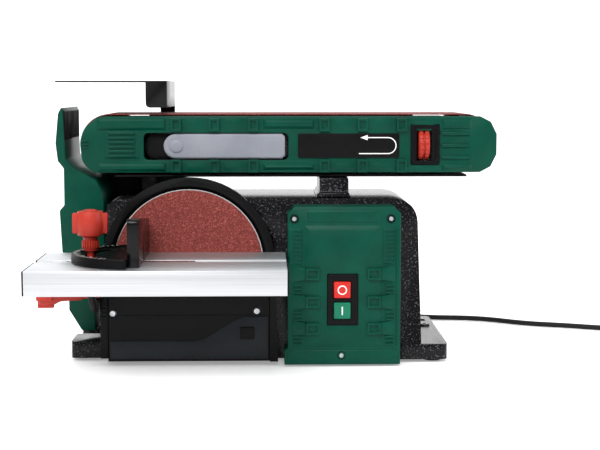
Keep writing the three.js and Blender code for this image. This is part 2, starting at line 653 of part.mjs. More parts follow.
// ---------- dust hood ----------
function dustHood() {
  const wall = outline([
    [-131, 258],
    [-134, 252],
    [-137, 222],
    [-135, 204],
    [-129, 196.4],
    [-129, 158.6],
    [-134, 153],
    [-132, 110],
    [-126, 104],
    [-126, 50],
    [-113, 28.5],
    [-99, 28.5],
    [-99, 110],
    [-88.5, 118],
    [-88.5, 160],
    [-90, 172],
    [-96, 184],
    [-118, 196],
    [-127, 206],
    [-129, 258],
  ]);
  const cavity = outline([
    [-122, 60],
    [-103, 60],
    [-103, 112],
    [-92, 120],
    [-92, 160],
    [-100, 178],
    [-125, 178],
  ]);
  return cut(
    plateAlongY(wall, 37, 149),
    plateAlongY(cavity, 41, 150),
  );
}
add(base, "dust_hood", dustHood(), greenPlastic);
const PORT = { x: -112, z: 140, r: 17, y1: 190 };
const hoodBack = cut(
  box(-127, -91, 149.3, 152, 64, 176),
  alongY(rod(PORT.r + GAP, 140, 160, 32)).translate(PORT.x, 0, PORT.z),
);
add(base, "hood_back", hoodBack, blackPlastic);

// ---------- rest post for the arm ----------
const postShape = join(
  box(POST.x0, POST.x1, 30, 120, BASE.top + GAP, POST.top),
  plateAlongY(
    outline([[129, BASE.top + GAP], [165, BASE.top + GAP], [POST.x1, 172], [POST.x0, 172]]),
    26,
    124,
  ),
);
add(base, "arm_post", postShape, hammeredPaint);

// ---------- origin ----------
const extent = new THREE.Box3().setFromObject(machine);
const centre = extent.getCenter(new THREE.Vector3());
machine.position.set(-centre.x, -centre.y, 0);

// ---------- mains lead ----------
const CORD_R = 3;
const GLAND = { x: 215, y0: BASE.y1 + GAP, y1: 182, z: 27.5 };
const COIL = { x: 524, y: 202, meanR: 36, z0: 1.6, top: 13.6 };
const lead = assembly(machine, 0, 0, 0);
const glandProfile = [[0, 0], [8, 0], [8, 4], [5.6, 6], [4, GLAND.y1 - GLAND.y0], [0, GLAND.y1 - GLAND.y0]];
add(lead, "cord_gland", alongY(turned(glandProfile, 24)), blackRubber, [GLAND.x, GLAND.y0, GLAND.z]);

// From the gland down to the bench, round the back of the foot and away to the right.
const CORD_ROUTE = [
  [215, 182.4, 27.5],
  [215, 188, 27.4],
  [215, 196, 25.6],
  [215, 204, 21.4],
  [215, 211, 15],
  [215, 218, 8.8],
  [215, 226, 4.5],
  [215.3, 234, 3.3],
  [217.4, 243, 3.2],
  [222, 250.2, 3.2],
  [228.6, 256, 3.2],
  [236.8, 259.6, 3.2],
  [248, 260, 3.2],
  [266, 256, 3.2],
  [284, 252, 3.2],
  [304, 249.6, 3.2],
  [324, 245.4, 3.2],
  [345, 236, 3.2],
  [366, 221, 3.2],
  [386, 208.5, 3.2],
  [406, 200.5, 3.2],
  [430, 192, 3.2],
  [456, 180.6, 3.2],
  [480, 170.4, 3.5],
  [502, 163.4, 4.1],
  [513, 161.2, 4.5],
];
const COIL_OUTER_R = COIL.meanR + CORD_R * 3;
const TAIL = [
  [COIL.x + COIL_OUTER_R - CORD_R, COIL.y + 23, 10.5],
  [COIL.x + COIL_OUTER_R - CORD_R, COIL.y + 30, 13],
  [COIL.x + COIL_OUTER_R - CORD_R, COIL.y + 38, 16.5],
  [COIL.x + COIL_OUTER_R - CORD_R, COIL.y + 46, 18.6],
];
function cordTube(route, steps) {
  const section = new THREE.Shape();
  section.absarc(0, 0, CORD_R, 0, Math.PI * 2, false);
  const path = new THREE.CatmullRomCurve3(route.map((p) => new THREE.Vector3(...p)));
  return new THREE.ExtrudeGeometry(section, { extrudePath: path, steps, curveSegments: 5, bevelEnabled: false });
}
const coilSpace = rod(COIL_OUTER_R + GAP, 0, COIL.top + 2, 48).translate(COIL.x, COIL.y, 0);
const plugSpace = box(COIL.x, COIL.x + 90, COIL.y + 44, COIL.y + 90, 0, 40);
add(lead, "cord", cut(cordTube(CORD_ROUTE, 34), coilSpace), blackRubber);
add(lead, "cord_tail", cut(cordTube(TAIL, 4), coilSpace, plugSpace), blackRubber);
const coilRing = ring(COIL.meanR - CORD_R * 3, COIL_OUTER_R, COIL.z0, COIL.top, 48);
add(lead, "cord_coil", coilRing, blackRubber, [COIL.x, COIL.y, 0]);

// Hook-and-loop tie round the coil's turns, at its left side.
const tieX = COIL.x - COIL.meanR;
const tieHalf = CORD_R * 3 + 3;
const cordTie = cut(
  box(tieX - tieHalf, tieX + tieHalf, COIL.y - 7, COIL.y + 7, 0.3, COIL.top + 1.3),
  box(tieX - tieHalf + 1, tieX + tieHalf - 1, COIL.y - 8, COIL.y + 8, 1.3, COIL.top + GAP),
);
add(lead, "cord_tie", cordTie, blackPlastic);

const PLUG = { y: COIL.y + 44 + GAP, z: 18.6 };
const plugProfile = [[0, 0], [4.6, 0], [6.5, 16], [10, 20], [15.5, 26], [18.4, 32], [18.4, 52], [0, 52]];
const pins = [-9.5, 9.5].map((x) => alongY(rod(2.4, 51, 71, 16)).translate(x, 0, 0));
const plug = join(alongY(turned(plugProfile, 32)), ...pins);
add(lead, "mains_plug", plug, blackRubber, [COIL.x + COIL_OUTER_R - CORD_R, PLUG.y, PLUG.z]);

export default machine;
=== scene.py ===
# %% [markdown]
# # A bench belt and disc sander, dressed in Blender
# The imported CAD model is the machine's skeleton: every size and place below is read from it or counted
# in millimetres from the centre of the sanding disc's face. Blender adds what a mould, a paint shop and
# an abrasive maker add to that skeleton: ribs, clips, soft edges, grain, screws and a real mains lead.

# %% Load the frame
from math import cos, hypot, pi, radians, sin

import bmesh
import bpy
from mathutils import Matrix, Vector


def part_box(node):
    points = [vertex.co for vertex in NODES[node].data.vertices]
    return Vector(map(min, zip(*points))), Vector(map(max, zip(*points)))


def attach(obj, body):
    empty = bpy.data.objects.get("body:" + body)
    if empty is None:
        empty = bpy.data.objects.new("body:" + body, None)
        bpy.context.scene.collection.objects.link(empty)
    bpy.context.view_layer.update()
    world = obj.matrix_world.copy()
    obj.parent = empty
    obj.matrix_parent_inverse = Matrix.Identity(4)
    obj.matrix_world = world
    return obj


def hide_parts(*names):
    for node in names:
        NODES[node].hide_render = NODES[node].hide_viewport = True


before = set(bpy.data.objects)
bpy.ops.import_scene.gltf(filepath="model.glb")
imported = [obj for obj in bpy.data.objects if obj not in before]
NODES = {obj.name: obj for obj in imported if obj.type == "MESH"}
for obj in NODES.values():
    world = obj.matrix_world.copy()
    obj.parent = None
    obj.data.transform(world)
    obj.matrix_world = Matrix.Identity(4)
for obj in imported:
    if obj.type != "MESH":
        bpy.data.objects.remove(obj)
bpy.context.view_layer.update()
MM = 0.001

# %% [markdown]
# The disc is what a woodworker lines everything up with, so its face is the zero of every measure: x is
# counted from its axis, y from its abrasive face and z from the bench. One function turns millimetres
# counted this way into a point of the frame.

# %% Millimetres from the disc
disc_low, disc_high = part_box("abrasive_disc")
ZERO = Vector(((disc_low.x + disc_high.x) / 2, disc_low.y, 0))


def at(x, y, z):
    """A point given in millimetres from the disc, in the frame's metres."""
    return ZERO + Vector((x, y, z)) * MM


def extent(node):
    """Lowest and highest corner of a CAD node in millimetres from the disc."""
    low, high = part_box(node)
    return (low - ZERO) / MM, (high - ZERO) / MM


DISC_Z = (extent("abrasive_disc")[0].z + extent("abrasive_disc")[1].z) / 2
print("disc axis stands", round(DISC_Z, 1), "mm over the bench")

# %% [markdown]
# The camera stands a little over a metre and a third in front of the machine, level with the top of the
# belt, and looks slightly down: a long lens, which keeps the arm's lines straight.

# %% Camera
EYE = (77.8, -1340.0, 280.0)
PITCH_DOWN = 5.9
YAW_RIGHT = 1.45
LENS = 80.6

camera_data = bpy.data.cameras.new("studio_camera")
camera_data.lens = LENS
camera_data.sensor_width = 36.0
camera_data.clip_end = 50.0
camera = bpy.data.objects.new("studio_camera", camera_data)
camera.location = at(*EYE)
camera.rotation_euler = (radians(90 - PITCH_DOWN), 0, radians(-YAW_RIGHT))
bpy.context.scene.collection.objects.link(camera)
bpy.context.scene.camera = camera

# %% [markdown]
# A material here is a short recipe: the shader's plain sockets first, then a few textures for what the
# process left on the surface. One function adds a node with its settings and links, one turns the hex
# colours of a paint chart into linear light, and sizes of grain are given in millimetres.

# %% Tools for materials
def paint(hex_code, alpha=1.0):
    """An sRGB hex colour as linear RGBA."""
    channels = [int(hex_code[i:i + 2], 16) / 255 for i in (1, 3, 5)]
    linear = [c / 12.92 if c <= 0.04045 else ((c + 0.055) / 1.055) ** 2.4 for c in channels]
    return (*linear, alpha)


def add_node(tree, kind, links=None, **settings):
    """Adds a node. Settings are node properties, or input sockets when written with an in_ prefix."""
    node = tree.nodes.new(kind)
    for key, value in settings.items():
        if key.startswith("in_"):
            name = key[3:]
            socket = node.inputs[int(name)] if name.isdigit() else node.inputs[name.replace("_", " ")]
            socket.default_value = value
        else:
            setattr(node, key, value)
    for socket_name, source in (links or {}).items():
        tree.links.new(source, node.inputs[socket_name])
    return node


def shader(name, **sockets):
    """A new material with its Principled shader's sockets set."""
    material = bpy.data.materials.new(name)
    material.use_nodes = True
    principled = material.node_tree.nodes["Principled BSDF"]
    for key, value in sockets.items():
        principled.inputs[key.replace("_", " ")].default_value = value
    return material, material.node_tree, principled


def per_metre(millimetres):
    """A texture scale whose cells are this many millimetres wide."""
    return 1000.0 / millimetres


def stretched(tree, x, y, z):
    """Object coordinates scaled so that a pattern's cells measure x, y and z millimetres."""
    place = add_node(tree, "ShaderNodeTexCoord")
    mapping = add_node(tree, "ShaderNodeMapping", {"Vector": place.outputs["Object"]})
    mapping.inputs["Scale"].default_value = (per_metre(x), per_metre(y), per_metre(z))
    return mapping.outputs["Vector"]


def colour_ramp(tree, factor, stops):
    """A colour ramp through (position, colour) stops."""
    ramp = add_node(tree, "ShaderNodeValToRGB", {"Fac": factor})
    elements = ramp.color_ramp.elements
    while len(elements) < len(stops):
        elements.new(0.5)
    for element, (position, colour) in zip(elements, stops):
        element.position = position
        element.color = colour
    return ramp.outputs["Color"]


def bump(tree, principled, height, depth_mm, strength=1.0):
    """Raises the surface by depth_mm where height is 1."""
    node = add_node(tree, "ShaderNodeBump", {"Height": height}, in_Strength=strength)
    node.inputs["Distance"].default_value = depth_mm * MM
    tree.links.new(node.outputs["Normal"], principled.inputs["Normal"])


# %% [markdown]
# **Moulded ABS and polypropylene.** The covers are injection moulded and spark-textured, so light breaks
# on a fine grain, and handling polishes some patches more than others. The real grain is about 0.15 mm;
# it is drawn at 0.7 mm so that it still shows from a metre away.

# %% Moulded plastics
GRAIN_MM = 0.7
PATCH_MM = 26.0


def moulded_plastic(name, body_hex, light_hex, roughness=0.42, grain_depth=0.02, sheen=0.22):
    material, tree, principled = shader(name, Roughness=roughness, IOR=1.5)
    principled.inputs["Specular IOR Level"].default_value = sheen
    patches = add_node(tree, "ShaderNodeTexNoise", {"Vector": stretched(tree, PATCH_MM, PATCH_MM, PATCH_MM)},
                       in_Scale=1.0, in_Detail=3.0)
    shade = colour_ramp(tree, patches.outputs["Fac"], [(0.3, paint(body_hex)), (0.75, paint(light_hex))])
    tree.links.new(shade, principled.inputs["Base Color"])
    grain = add_node(tree, "ShaderNodeTexNoise", {"Vector": stretched(tree, GRAIN_MM, GRAIN_MM, GRAIN_MM)},
                     in_Scale=1.0, in_Detail=2.0)
    gloss = add_node(tree, "ShaderNodeMapRange", {"Value": patches.outputs["Fac"]})
    gloss.inputs["To Min"].default_value = roughness - 0.07
    gloss.inputs["To Max"].default_value = roughness + 0.09
    tree.links.new(gloss.outputs["Result"], principled.inputs["Roughness"])
    bump(tree, principled, grain.outputs["Fac"], grain_depth, 0.6)
    return material


GREEN_ABS = moulded_plastic("green_moulded_abs", "#003a2c", "#004434", 0.38, sheen=0.12)
BLACK_ABS = moulded_plastic("black_moulded_abs", "#040405", "#08080a", 0.4, sheen=0.12)
DARK_SLATE_ABS = moulded_plastic("slate_moulded_abs", "#0e1216", "#171d22", 0.45)
RED_POLYAMIDE = moulded_plastic("red_polyamide", "#a02c22", "#b23628", 0.38)
RED_LENS = moulded_plastic("red_button_polycarbonate", "#b81f1c", "#c62c26", 0.22, 0.004)
GREEN_LENS = moulded_plastic("green_button_polycarbonate", "#046248", "#0a7556", 0.22, 0.004)
GREY_POLYAMIDE = moulded_plastic("grey_satin_polyamide", "#7b7e87", "#888b93", 0.36, 0.012)
BLACK_RUBBER = moulded_plastic("black_pvc_rubber", "#09090a", "#101012", 0.55, 0.03)

# %% [markdown]
# ** Hammered paint.** The castings wear a stove enamel with silicone in it, which pulls the wet film into
# shallow dimples one or two millimetres wide. Rounded cells give the dimples as a bump, and the rims between
# them are painted grey on a nearly black ground: painted highlights, not a colour of the enamel.

# %% Hammered paint
DIMPLE_MM = 1.5


def hammered_paint():
    material, tree, principled = shader("hammered_black_enamel", Roughness=0.24, IOR=1.5)
    principled.inputs["Specular IOR Level"].default_value = 0.2
    dimples = stretched(tree, DIMPLE_MM, DIMPLE_MM, DIMPLE_MM)
    cells = add_node(tree, "ShaderNodeTexVoronoi", {"Vector": dimples},
                     feature="SMOOTH_F1", in_Scale=1.0, in_Smoothness=0.6)
    # The ramp's last stop paints the dimple rims grey: painted highlights on the black enamel.
    tint = colour_ramp(tree, cells.outputs["Distance"],
                       [(0.3, paint("#020203")), (0.62, paint("#09090b")), (0.8, paint("#4a4950"))])
    tree.links.new(tint, principled.inputs["Base Color"])
    bump(tree, principled, cells.outputs["Distance"], 0.12, 0.6)
    return material


HAMMERED = hammered_paint()

# %% [markdown]
# **Metals.** The table is an aluminium extrusion, and its die leaves hair lines along the whole length;
# turned parts carry rings instead, and zinc-plated screws a soft cloudy sheen. All keep the default IOR:
# a metal's colour is its reflection.

# %% Metals
def lined_metal(name, low_hex, high_hex, roughness, lines, depth=0.01):
    """A metal whose tool marks are cells of lines = (x, y, z) millimetres."""
    material, tree, principled = shader(name, Metallic=1.0, Roughness=roughness)
    marks = add_node(tree, "ShaderNodeTexNoise", {"Vector": stretched(tree, *lines)},
                     in_Scale=1.0, in_Detail=4.0)
    tint = colour_ramp(tree, marks.outputs["Fac"], [(0.3, paint(low_hex)), (0.7, paint(high_hex))])
    tree.links.new(tint, principled.inputs["Base Color"])
    gloss = add_node(tree, "ShaderNodeMapRange", {"Value": marks.outputs["Fac"]})
    gloss.inputs["To Min"].default_value = roughness - 0.08
    gloss.inputs["To Max"].default_value = roughness + 0.1
    tree.links.new(gloss.outputs["Result"], principled.inputs["Roughness"])
    bump(tree, principled, marks.outputs["Fac"], depth, 0.5)
    return material


EXTRUDED = lined_metal("extruded_anodised_aluminium", "#c4c6c9", "#d3d5d7", 0.46, (160, 1.0, 1.0), 0.003)
TURNED = lined_metal("turned_aluminium", "#c3c5c8", "#e4e5e6", 0.28, (1.2, 60, 1.2))
ZINC = lined_metal("zinc_plated_steel", "#8d9094", "#c7cacd", 0.3, (4, 4, 4), 0.004)
BRIGHT_STEEL = lined_metal("ground_bright_steel", "#a4a6a8", "#d2d4d6", 0.25, (0.7, 30, 0.7))


def powder_coat():
    material, tree, principled = shader("black_powder_coat", Roughness=0.2, IOR=1.5)
    principled.inputs["Base Color"].default_value = paint("#040405")
    principled.inputs["Specular IOR Level"].default_value = 0.2
    orange_peel = add_node(tree, "ShaderNodeTexNoise", {"Vector": stretched(tree, 1.4, 1.4, 1.4)},
                           in_Scale=1.0, in_Detail=2.0)
    bump(tree, principled, orange_peel.outputs["Fac"], 0.012, 0.5)
    return material


POWDER_COAT = powder_coat()

# %% [markdown]
# **Coated abrasive.** Brown aluminium oxide grains sit in red resin on a cloth backing. Grit 80 grains are
# 0.2 mm across; they are drawn at 0.8 mm, each with its own shade, with worn, paler ones scattered about.

# %% Abrasive cloth
GRIT_MM = 0.8


def abrasive_cloth():
    material, tree, principled = shader("aluminium_oxide_abrasive", Roughness=0.85, IOR=1.5)
    grains = add_node(tree, "ShaderNodeTexVoronoi", {"Vector": stretched(tree, GRIT_MM, GRIT_MM, GRIT_MM)},
                      in_Scale=1.0)
    separate = add_node(tree, "ShaderNodeSeparateColor", {"Color": grains.outputs["Color"]})
    tint = colour_ramp(tree, separate.outputs["Red"],
                       [(0.0, paint("#551a15")), (0.5, paint("#742822")), (0.85, paint("#85352e")),
                        (1.0, paint("#a5584e"))])
    tree.links.new(tint, principled.inputs["Base Color"])
    bump(tree, principled, grains.outputs["Distance"], 0.3, 0.9)
    return material


ABRASIVE = abrasive_cloth()


def printed_ink(name, hex_code):
    """Screen-printed ink: opaque and slightly uneven."""
    material, tree, principled = shader(name, Roughness=0.45, IOR=1.5)
    pores = add_node(tree, "ShaderNodeTexNoise", {"Vector": stretched(tree, 0.8, 0.8, 0.8)}, in_Scale=1.0)
    white = paint(hex_code)
    worn = tuple(0.82 * c for c in white[:3]) + (1.0,)
    tint = colour_ramp(tree, pores.outputs["Fac"], [(0.25, worn), (0.6, white)])
    tree.links.new(tint, principled.inputs["Base Color"])
    return material


WHITE_INK = printed_ink("white_screen_ink", "#f2f2f0")
print("materials:", len(bpy.data.materials))

# %% [markdown]
# Moulded parts are mostly prisms, turned shapes and blocks grown into one another. These helpers build
# them in millimetres from the disc and collect them in one bmesh, and the last one makes the collection
# a finished piece: it rounds the edges as a mould or a deburring file would, and lets it ride on a body.

# %% Tools for shapes
AXES = {"x": (1, 2, 0), "y": (0, 2, 1), "z": (0, 1, 2)}  # outline's two axes, then the axis of depth


def placed(axis, u, v, w):
    point = [0.0, 0.0, 0.0]
    for index, value in zip(AXES[axis], (u, v, w)):
        point[index] = value
    return point


def add_loft(bm, axis, rings, capped=True):
    """Joins rings of (u, v) points, each at its own depth along the axis, into a closed skin."""
    loops = [[bm.verts.new(placed(axis, u, v, depth)) for u, v in ring] for depth, ring in rings]
    faces = []
    for low, high in zip(loops, loops[1:]):
        count = len(low)
        for i in range(count):
            j = (i + 1) % count
            faces.append(bm.faces.new((low[i], low[j], high[j], high[i])))
    if capped:
        faces.append(bm.faces.new(loops[0][::-1]))
        faces.append(bm.faces.new(loops[-1]))
    bmesh.ops.recalc_face_normals(bm, faces=faces)


def add_prism(bm, axis, outline, start, end, shrink=0.0):
    """An outline pushed along an axis; with shrink, its far end is drawn in towards its middle."""
    if shrink == 0:
        add_loft(bm, axis, [(start, outline), (end, outline)])
        return
    mid_u = (min(u for u, v in outline) + max(u for u, v in outline)) / 2
    mid_v = (min(v for u, v in outline) + max(v for u, v in outline)) / 2
    wide = max(max(abs(u - mid_u) for u, v in outline), 1e-6)
    tall = max(max(abs(v - mid_v) for u, v in outline), 1e-6)
    drawn = [(mid_u + (u - mid_u) * (1 - shrink / wide), mid_v + (v - mid_v) * (1 - shrink / tall))
             for u, v in outline]
    add_loft(bm, axis, [(start, outline), (end, drawn)])


def oblong(u0, u1, v0, v1):
    return [(u0, v0), (u1, v0), (u1, v1), (u0, v1)]


def rounded(u0, u1, v0, v1, radius, steps=5):
    """An oblong with round corners."""
    corners = [(u1 - radius, v0 + radius, -90), (u1 - radius, v1 - radius, 0),
               (u0 + radius, v1 - radius, 90), (u0 + radius, v0 + radius, 180)]
    return [point for cu, cv, start in corners for point in arc(cu, cv, radius, start, start + 90, steps)]


def arc(cu, cv, radius, start, end, steps):
    """Points on an arc, angles in degrees."""
    return [(cu + radius * cos(radians(start + (end - start) * i / steps)),
             cv + radius * sin(radians(start + (end - start) * i / steps))) for i in range(steps + 1)]


def add_block(bm, x0, x1, y0, y1, z0, z1):
    add_prism(bm, "y", oblong(x0, x1, z0, z1), y0, y1)


def add_turned(bm, axis, profile, centre, segments=48):
    """A profile of (radius, height) points spun about an axis through centre = (u, v)."""
    rings = [(height, arc(*centre, max(radius, 0.01), 0, 360 - 360 / segments, segments - 1))
             for radius, height in profile]
    add_loft(bm, axis, rings)


def smooth_by_angle(mesh, angle=32):
    mesh.polygons.foreach_set("use_smooth", [True] * len(mesh.polygons))
    mesh.set_sharp_from_angle(angle=radians(angle))


def plain_mesh(obj):
    """Bakes an object's modifiers into its mesh and removes them."""
    evaluated = obj.evaluated_get(bpy.context.evaluated_depsgraph_get())
    baked = bpy.data.meshes.new_from_object(evaluated)
    obj.modifiers.clear()
    obj.data = baked
    return obj


def object_from(name, bm, material):
    mesh = bpy.data.meshes.new(name)
    bm.to_mesh(mesh)
    bm.free()
    mesh.materials.append(material)
    obj = bpy.data.objects.new(name, mesh)
    bpy.context.scene.collection.objects.link(obj)
    return obj


def soften(obj, bevel_mm, segments=2):
    """Rounds the edges, bakes the mesh and shades it smooth."""
    if bevel_mm:
        bevel = obj.modifiers.new("soft_edges", "BEVEL")
        bevel.width = bevel_mm * MM
        bevel.segments = segments
        bevel.limit_method = "ANGLE"
        bevel.angle_limit = radians(32)
        plain_mesh(obj)
    smooth_by_angle(obj.data)
    return obj


PIECES = []


def make_piece(name, bm, material, body, bevel_mm=0.5, replaces=()):
    """Turns a bmesh in millimetres from the disc into a finished piece on a body."""
    for vert in bm.verts:
        vert.co = at(*vert.co)
    obj = soften(object_from(name, bm, material), bevel_mm)
    return settle(obj, body, replaces)


def prism_piece(name, layers, material, body, bevel_mm, replaces=(), axis="y"):
    """A piece of one or more outlines pushed along an axis; a layer is outline, start, end and shrink."""
    bm = bmesh.new()
    for layer in layers:
        add_prism(bm, axis, *layer)
    return make_piece(name, bm, material, body, bevel_mm, replaces)


def turned_piece(name, profile, centre, material, body, bevel_mm, axis="z"):
    bm = bmesh.new()
    add_turned(bm, axis, profile, centre, 32)
    return make_piece(name, bm, material, body, bevel_mm)


def settle(obj, body, replaces=()):
    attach(obj, body)
    if replaces:
        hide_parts(*replaces)
    PIECES.append(obj.name)
    return obj


def softened_copy(node, material, body, bevel_mm=0.6, name=None, extra=None):
    """A copy of a CAD node with merged vertices and soft edges, plus anything that extra(bm) adds in mm."""
    bm = bmesh.new()
    bm.from_mesh(NODES[node].data)
    bmesh.ops.remove_doubles(bm, verts=bm.verts, dist=0.00002)
    bmesh.ops.dissolve_limit(bm, angle_limit=radians(1.0), verts=bm.verts, edges=bm.edges)
    if extra:
        for vert in bm.verts:
            vert.co = (vert.co - ZERO) / MM
        extra(bm)
        for vert in bm.verts:
            vert.co = at(*vert.co)
    obj = soften(object_from(name or node + "_finished", bm, material), bevel_mm)
    return settle(obj, body, (node,))


# %% [markdown]
# **Mains lead.** Three cores in a round black PVC jacket, 6 mm thick and 1.86 m long, as bench machines
# have. It leaves the back of the base through a tapered boot, drops to the bench and runs off to the
# right. What isn't needed is wound in two layers of three turns, tied, with the plug beside the coil.

# %% Route of the lead
CORD_D = 6.0
CORD_ROUTE = [(215, 182.4, 27.5), (215, 188, 27.4), (215, 196, 25.6), (215, 204, 21.4), (215, 211, 15),
              (215, 218, 8.8), (215, 226, 4.5), (215.3, 234, 3.3), (217.4, 243, 3.2), (222, 250.2, 3.2),
              (228.6, 256, 3.2), (236.8, 259.6, 3.2), (248, 260, 3.2), (266, 256, 3.2), (284, 252, 3.2),
              (304, 249.6, 3.2), (324, 245.4, 3.2), (345, 236, 3.2), (366, 221, 3.2), (386, 208.5, 3.2),
              (406, 200.5, 3.2), (430, 192, 3.2), (456, 180.6, 3.2), (480, 170.4, 3.5),
              (502, 163.4, 4.1), (513, 161.2, 4.5)]
coil_low, coil_high = extent("cord_coil")
COIL_X = (coil_low.x + coil_high.x) / 2
COIL_Y = (coil_low.y + coil_high.y) / 2
COIL_OUTER_R = (coil_high.x - coil_low.x) / 2
LOW_LAYER_Z = coil_low.z + CORD_D / 2
TURNS_PER_LAYER = 3
POINTS_PER_TURN = 24


def coil_route():
    """Spirals in on the lower layer, steps up, and spirals out on the upper one."""
    outer = COIL_OUTER_R - CORD_D / 2 - 0.2
    inner = outer - CORD_D * (TURNS_PER_LAYER - 1) - 0.3
    points = []
    steps = TURNS_PER_LAYER * POINTS_PER_TURN
    for i in range(steps + 1):
        angle = radians(-90 + 360 * i / POINTS_PER_TURN)
        radius = outer - (outer - inner) * i / steps
        points.append((COIL_X + radius * cos(angle), COIL_Y + radius * sin(angle), LOW_LAYER_Z))
    rise = POINTS_PER_TURN // 3
    last = steps + POINTS_PER_TURN // 4
    for i in range(1, last + 1):
        angle = radians(-90 + 360 * i / POINTS_PER_TURN)
        radius = inner + (outer - inner) * min(1.0, i / steps)
        lift = min(1.0, i / rise)
        z = LOW_LAYER_Z + CORD_D * 0.98 * lift * lift * (3 - 2 * lift)
        points.append((COIL_X + radius * cos(angle), COIL_Y + radius * sin(angle), z))
    return points


tail_x = COIL_X + COIL_OUTER_R - CORD_D / 2 - 0.2
TAIL = [(tail_x, COIL_Y + 12, 10.5), (tail_x, COIL_Y + 23, 11.4), (tail_x, COIL_Y + 32, 13.8),
        (tail_x, COIL_Y + 40, 17), (tail_x, COIL_Y + 46, 18.6)]
route = [at(*p) for p in CORD_ROUTE + coil_route()[1:] + TAIL]


# %% [markdown]
# The jacket is a bevelled curve: a round tube that follows the points smoothly.

# %% Lead, plug, boot and tie
def lead_curve():
    curve = bpy.data.curves.new("mains_lead", "CURVE")
    curve.dimensions = "3D"
    curve.bevel_depth = CORD_D / 2 * MM
    curve.bevel_resolution = 4
    curve.resolution_u = 3
    curve.use_fill_caps = True
    spline = curve.splines.new("BEZIER")
    spline.bezier_points.add(len(route) - 1)
    for point, place in zip(spline.bezier_points, route):
        point.co = place
        point.handle_left_type = point.handle_right_type = "AUTO"
    curve.materials.append(BLACK_RUBBER)
    obj = bpy.data.objects.new("mains_lead", curve)
    bpy.context.scene.collection.objects.link(obj)
    return obj


lead = settle(lead_curve(), "base", ("cord", "cord_tail", "cord_coil"))


def boot_ribs(bm):
    """Rings round the strain relief that let it bend in a curve instead of a kink."""
    low, high = extent("cord_gland")
    centre = ((low.x + high.x) / 2, (low.z + high.z) / 2)
    for i in range(6):
        y = low.y + 9 + 3.6 * i
        radius = 6.3 - 0.28 * i
        add_turned(bm, "y", [(radius - 1.2, y), (radius, y + 0.5), (radius, y + 1.5), (radius - 1.2, y + 2)],
                   centre, 24)


boot = softened_copy("cord_gland", BLACK_RUBBER, "base", 0.3, extra=boot_ribs)


def plug_grip(bm):
    """Finger ridges on the plug's shoulder."""
    low, high = extent("mains_plug")
    centre = ((low.x + high.x) / 2, (low.z + high.z) / 2)
    for i in range(3):
        y = low.y + 35 + 4 * i
        add_turned(bm, "y", [(17, y), (18.35, y + 0.5), (18.35, y + 1.8), (17, y + 2.3)], centre, 40)


plug = softened_copy("mains_plug", BLACK_RUBBER, "base", 0.4, extra=plug_grip)
tie = softened_copy("cord_tie", BLACK_ABS, "base", 0.2)

# %% [markdown]
# **Studio.** A sheet of white paper that sweeps up behind the machine, as in a catalogue, with a broad
# daylight from the front, a large lamp above at the left, and softer ones at the right and behind.

# %% Floor and light
SWEEP_M = 3.2
SWEEP_BEND_M = 1.2


def studio():
    bm = bmesh.new()
    bend = [(SWEEP_M + SWEEP_BEND_M * sin(radians(angle)), SWEEP_BEND_M * (1 - cos(radians(angle))))
            for angle in range(0, 91, 10)]
    profile = [(-4.0, 0.0)] + bend + [(SWEEP_M + SWEEP_BEND_M, 5.0)]
    rows = [[bm.verts.new((x, y, z - 0.0004)) for y, z in profile] for x in (-7, 7)]
    for i in range(len(profile) - 1):
        bm.faces.new((rows[0][i], rows[1][i], rows[1][i + 1], rows[0][i + 1]))
    material, _, principled = shader("studio_paper", Roughness=0.8)
    principled.inputs["Base Color"].default_value = paint("#fafafa")
    principled.inputs["Emission Color"].default_value = paint("#ffffff")
    principled.inputs["Emission Strength"].default_value = 0.3
    paper = object_from("studio_paper", bm, material)
    world = bpy.data.worlds.new("studio_world")
    world.use_nodes = True
    world.node_tree.nodes["Background"].inputs["Color"].default_value = paint("#ffffff")
    world.node_tree.nodes["Background"].inputs["Strength"].default_value = 0.46
    bpy.context.scene.world = world
    target = at(60, 20, 130)
    lamps = [("key", "AREA", (-700, -1000, 1300), 1.2, 15), ("right", "AREA", (1300, -300, 500), 1.0, 6),
             ("back", "AREA", (200, 1300, 1200), 1.6, 12), ("daylight", "SUN", (-100, -1500, 1500), 0.5, 1.7)]
    for name, kind, place, size, power in lamps:
        data = bpy.data.lights.new("lamp_" + name, kind)
        data.energy = power
        if kind == "AREA":
            data.shape = "DISK"
            data.size = size
        else:
            data.angle = size
        lamp = bpy.data.objects.new("lamp_" + name, data)
        lamp.location = at(*place)
        lamp.rotation_euler = (target - lamp.location).to_track_quat("-Z", "Y").to_euler()
        bpy.context.scene.collection.objects.link(lamp)


studio()
bpy.context.scene.view_settings.view_transform = "Standard"

# %% [markdown]
# CAD nodes whose shape is already right keep it and only get their finish.

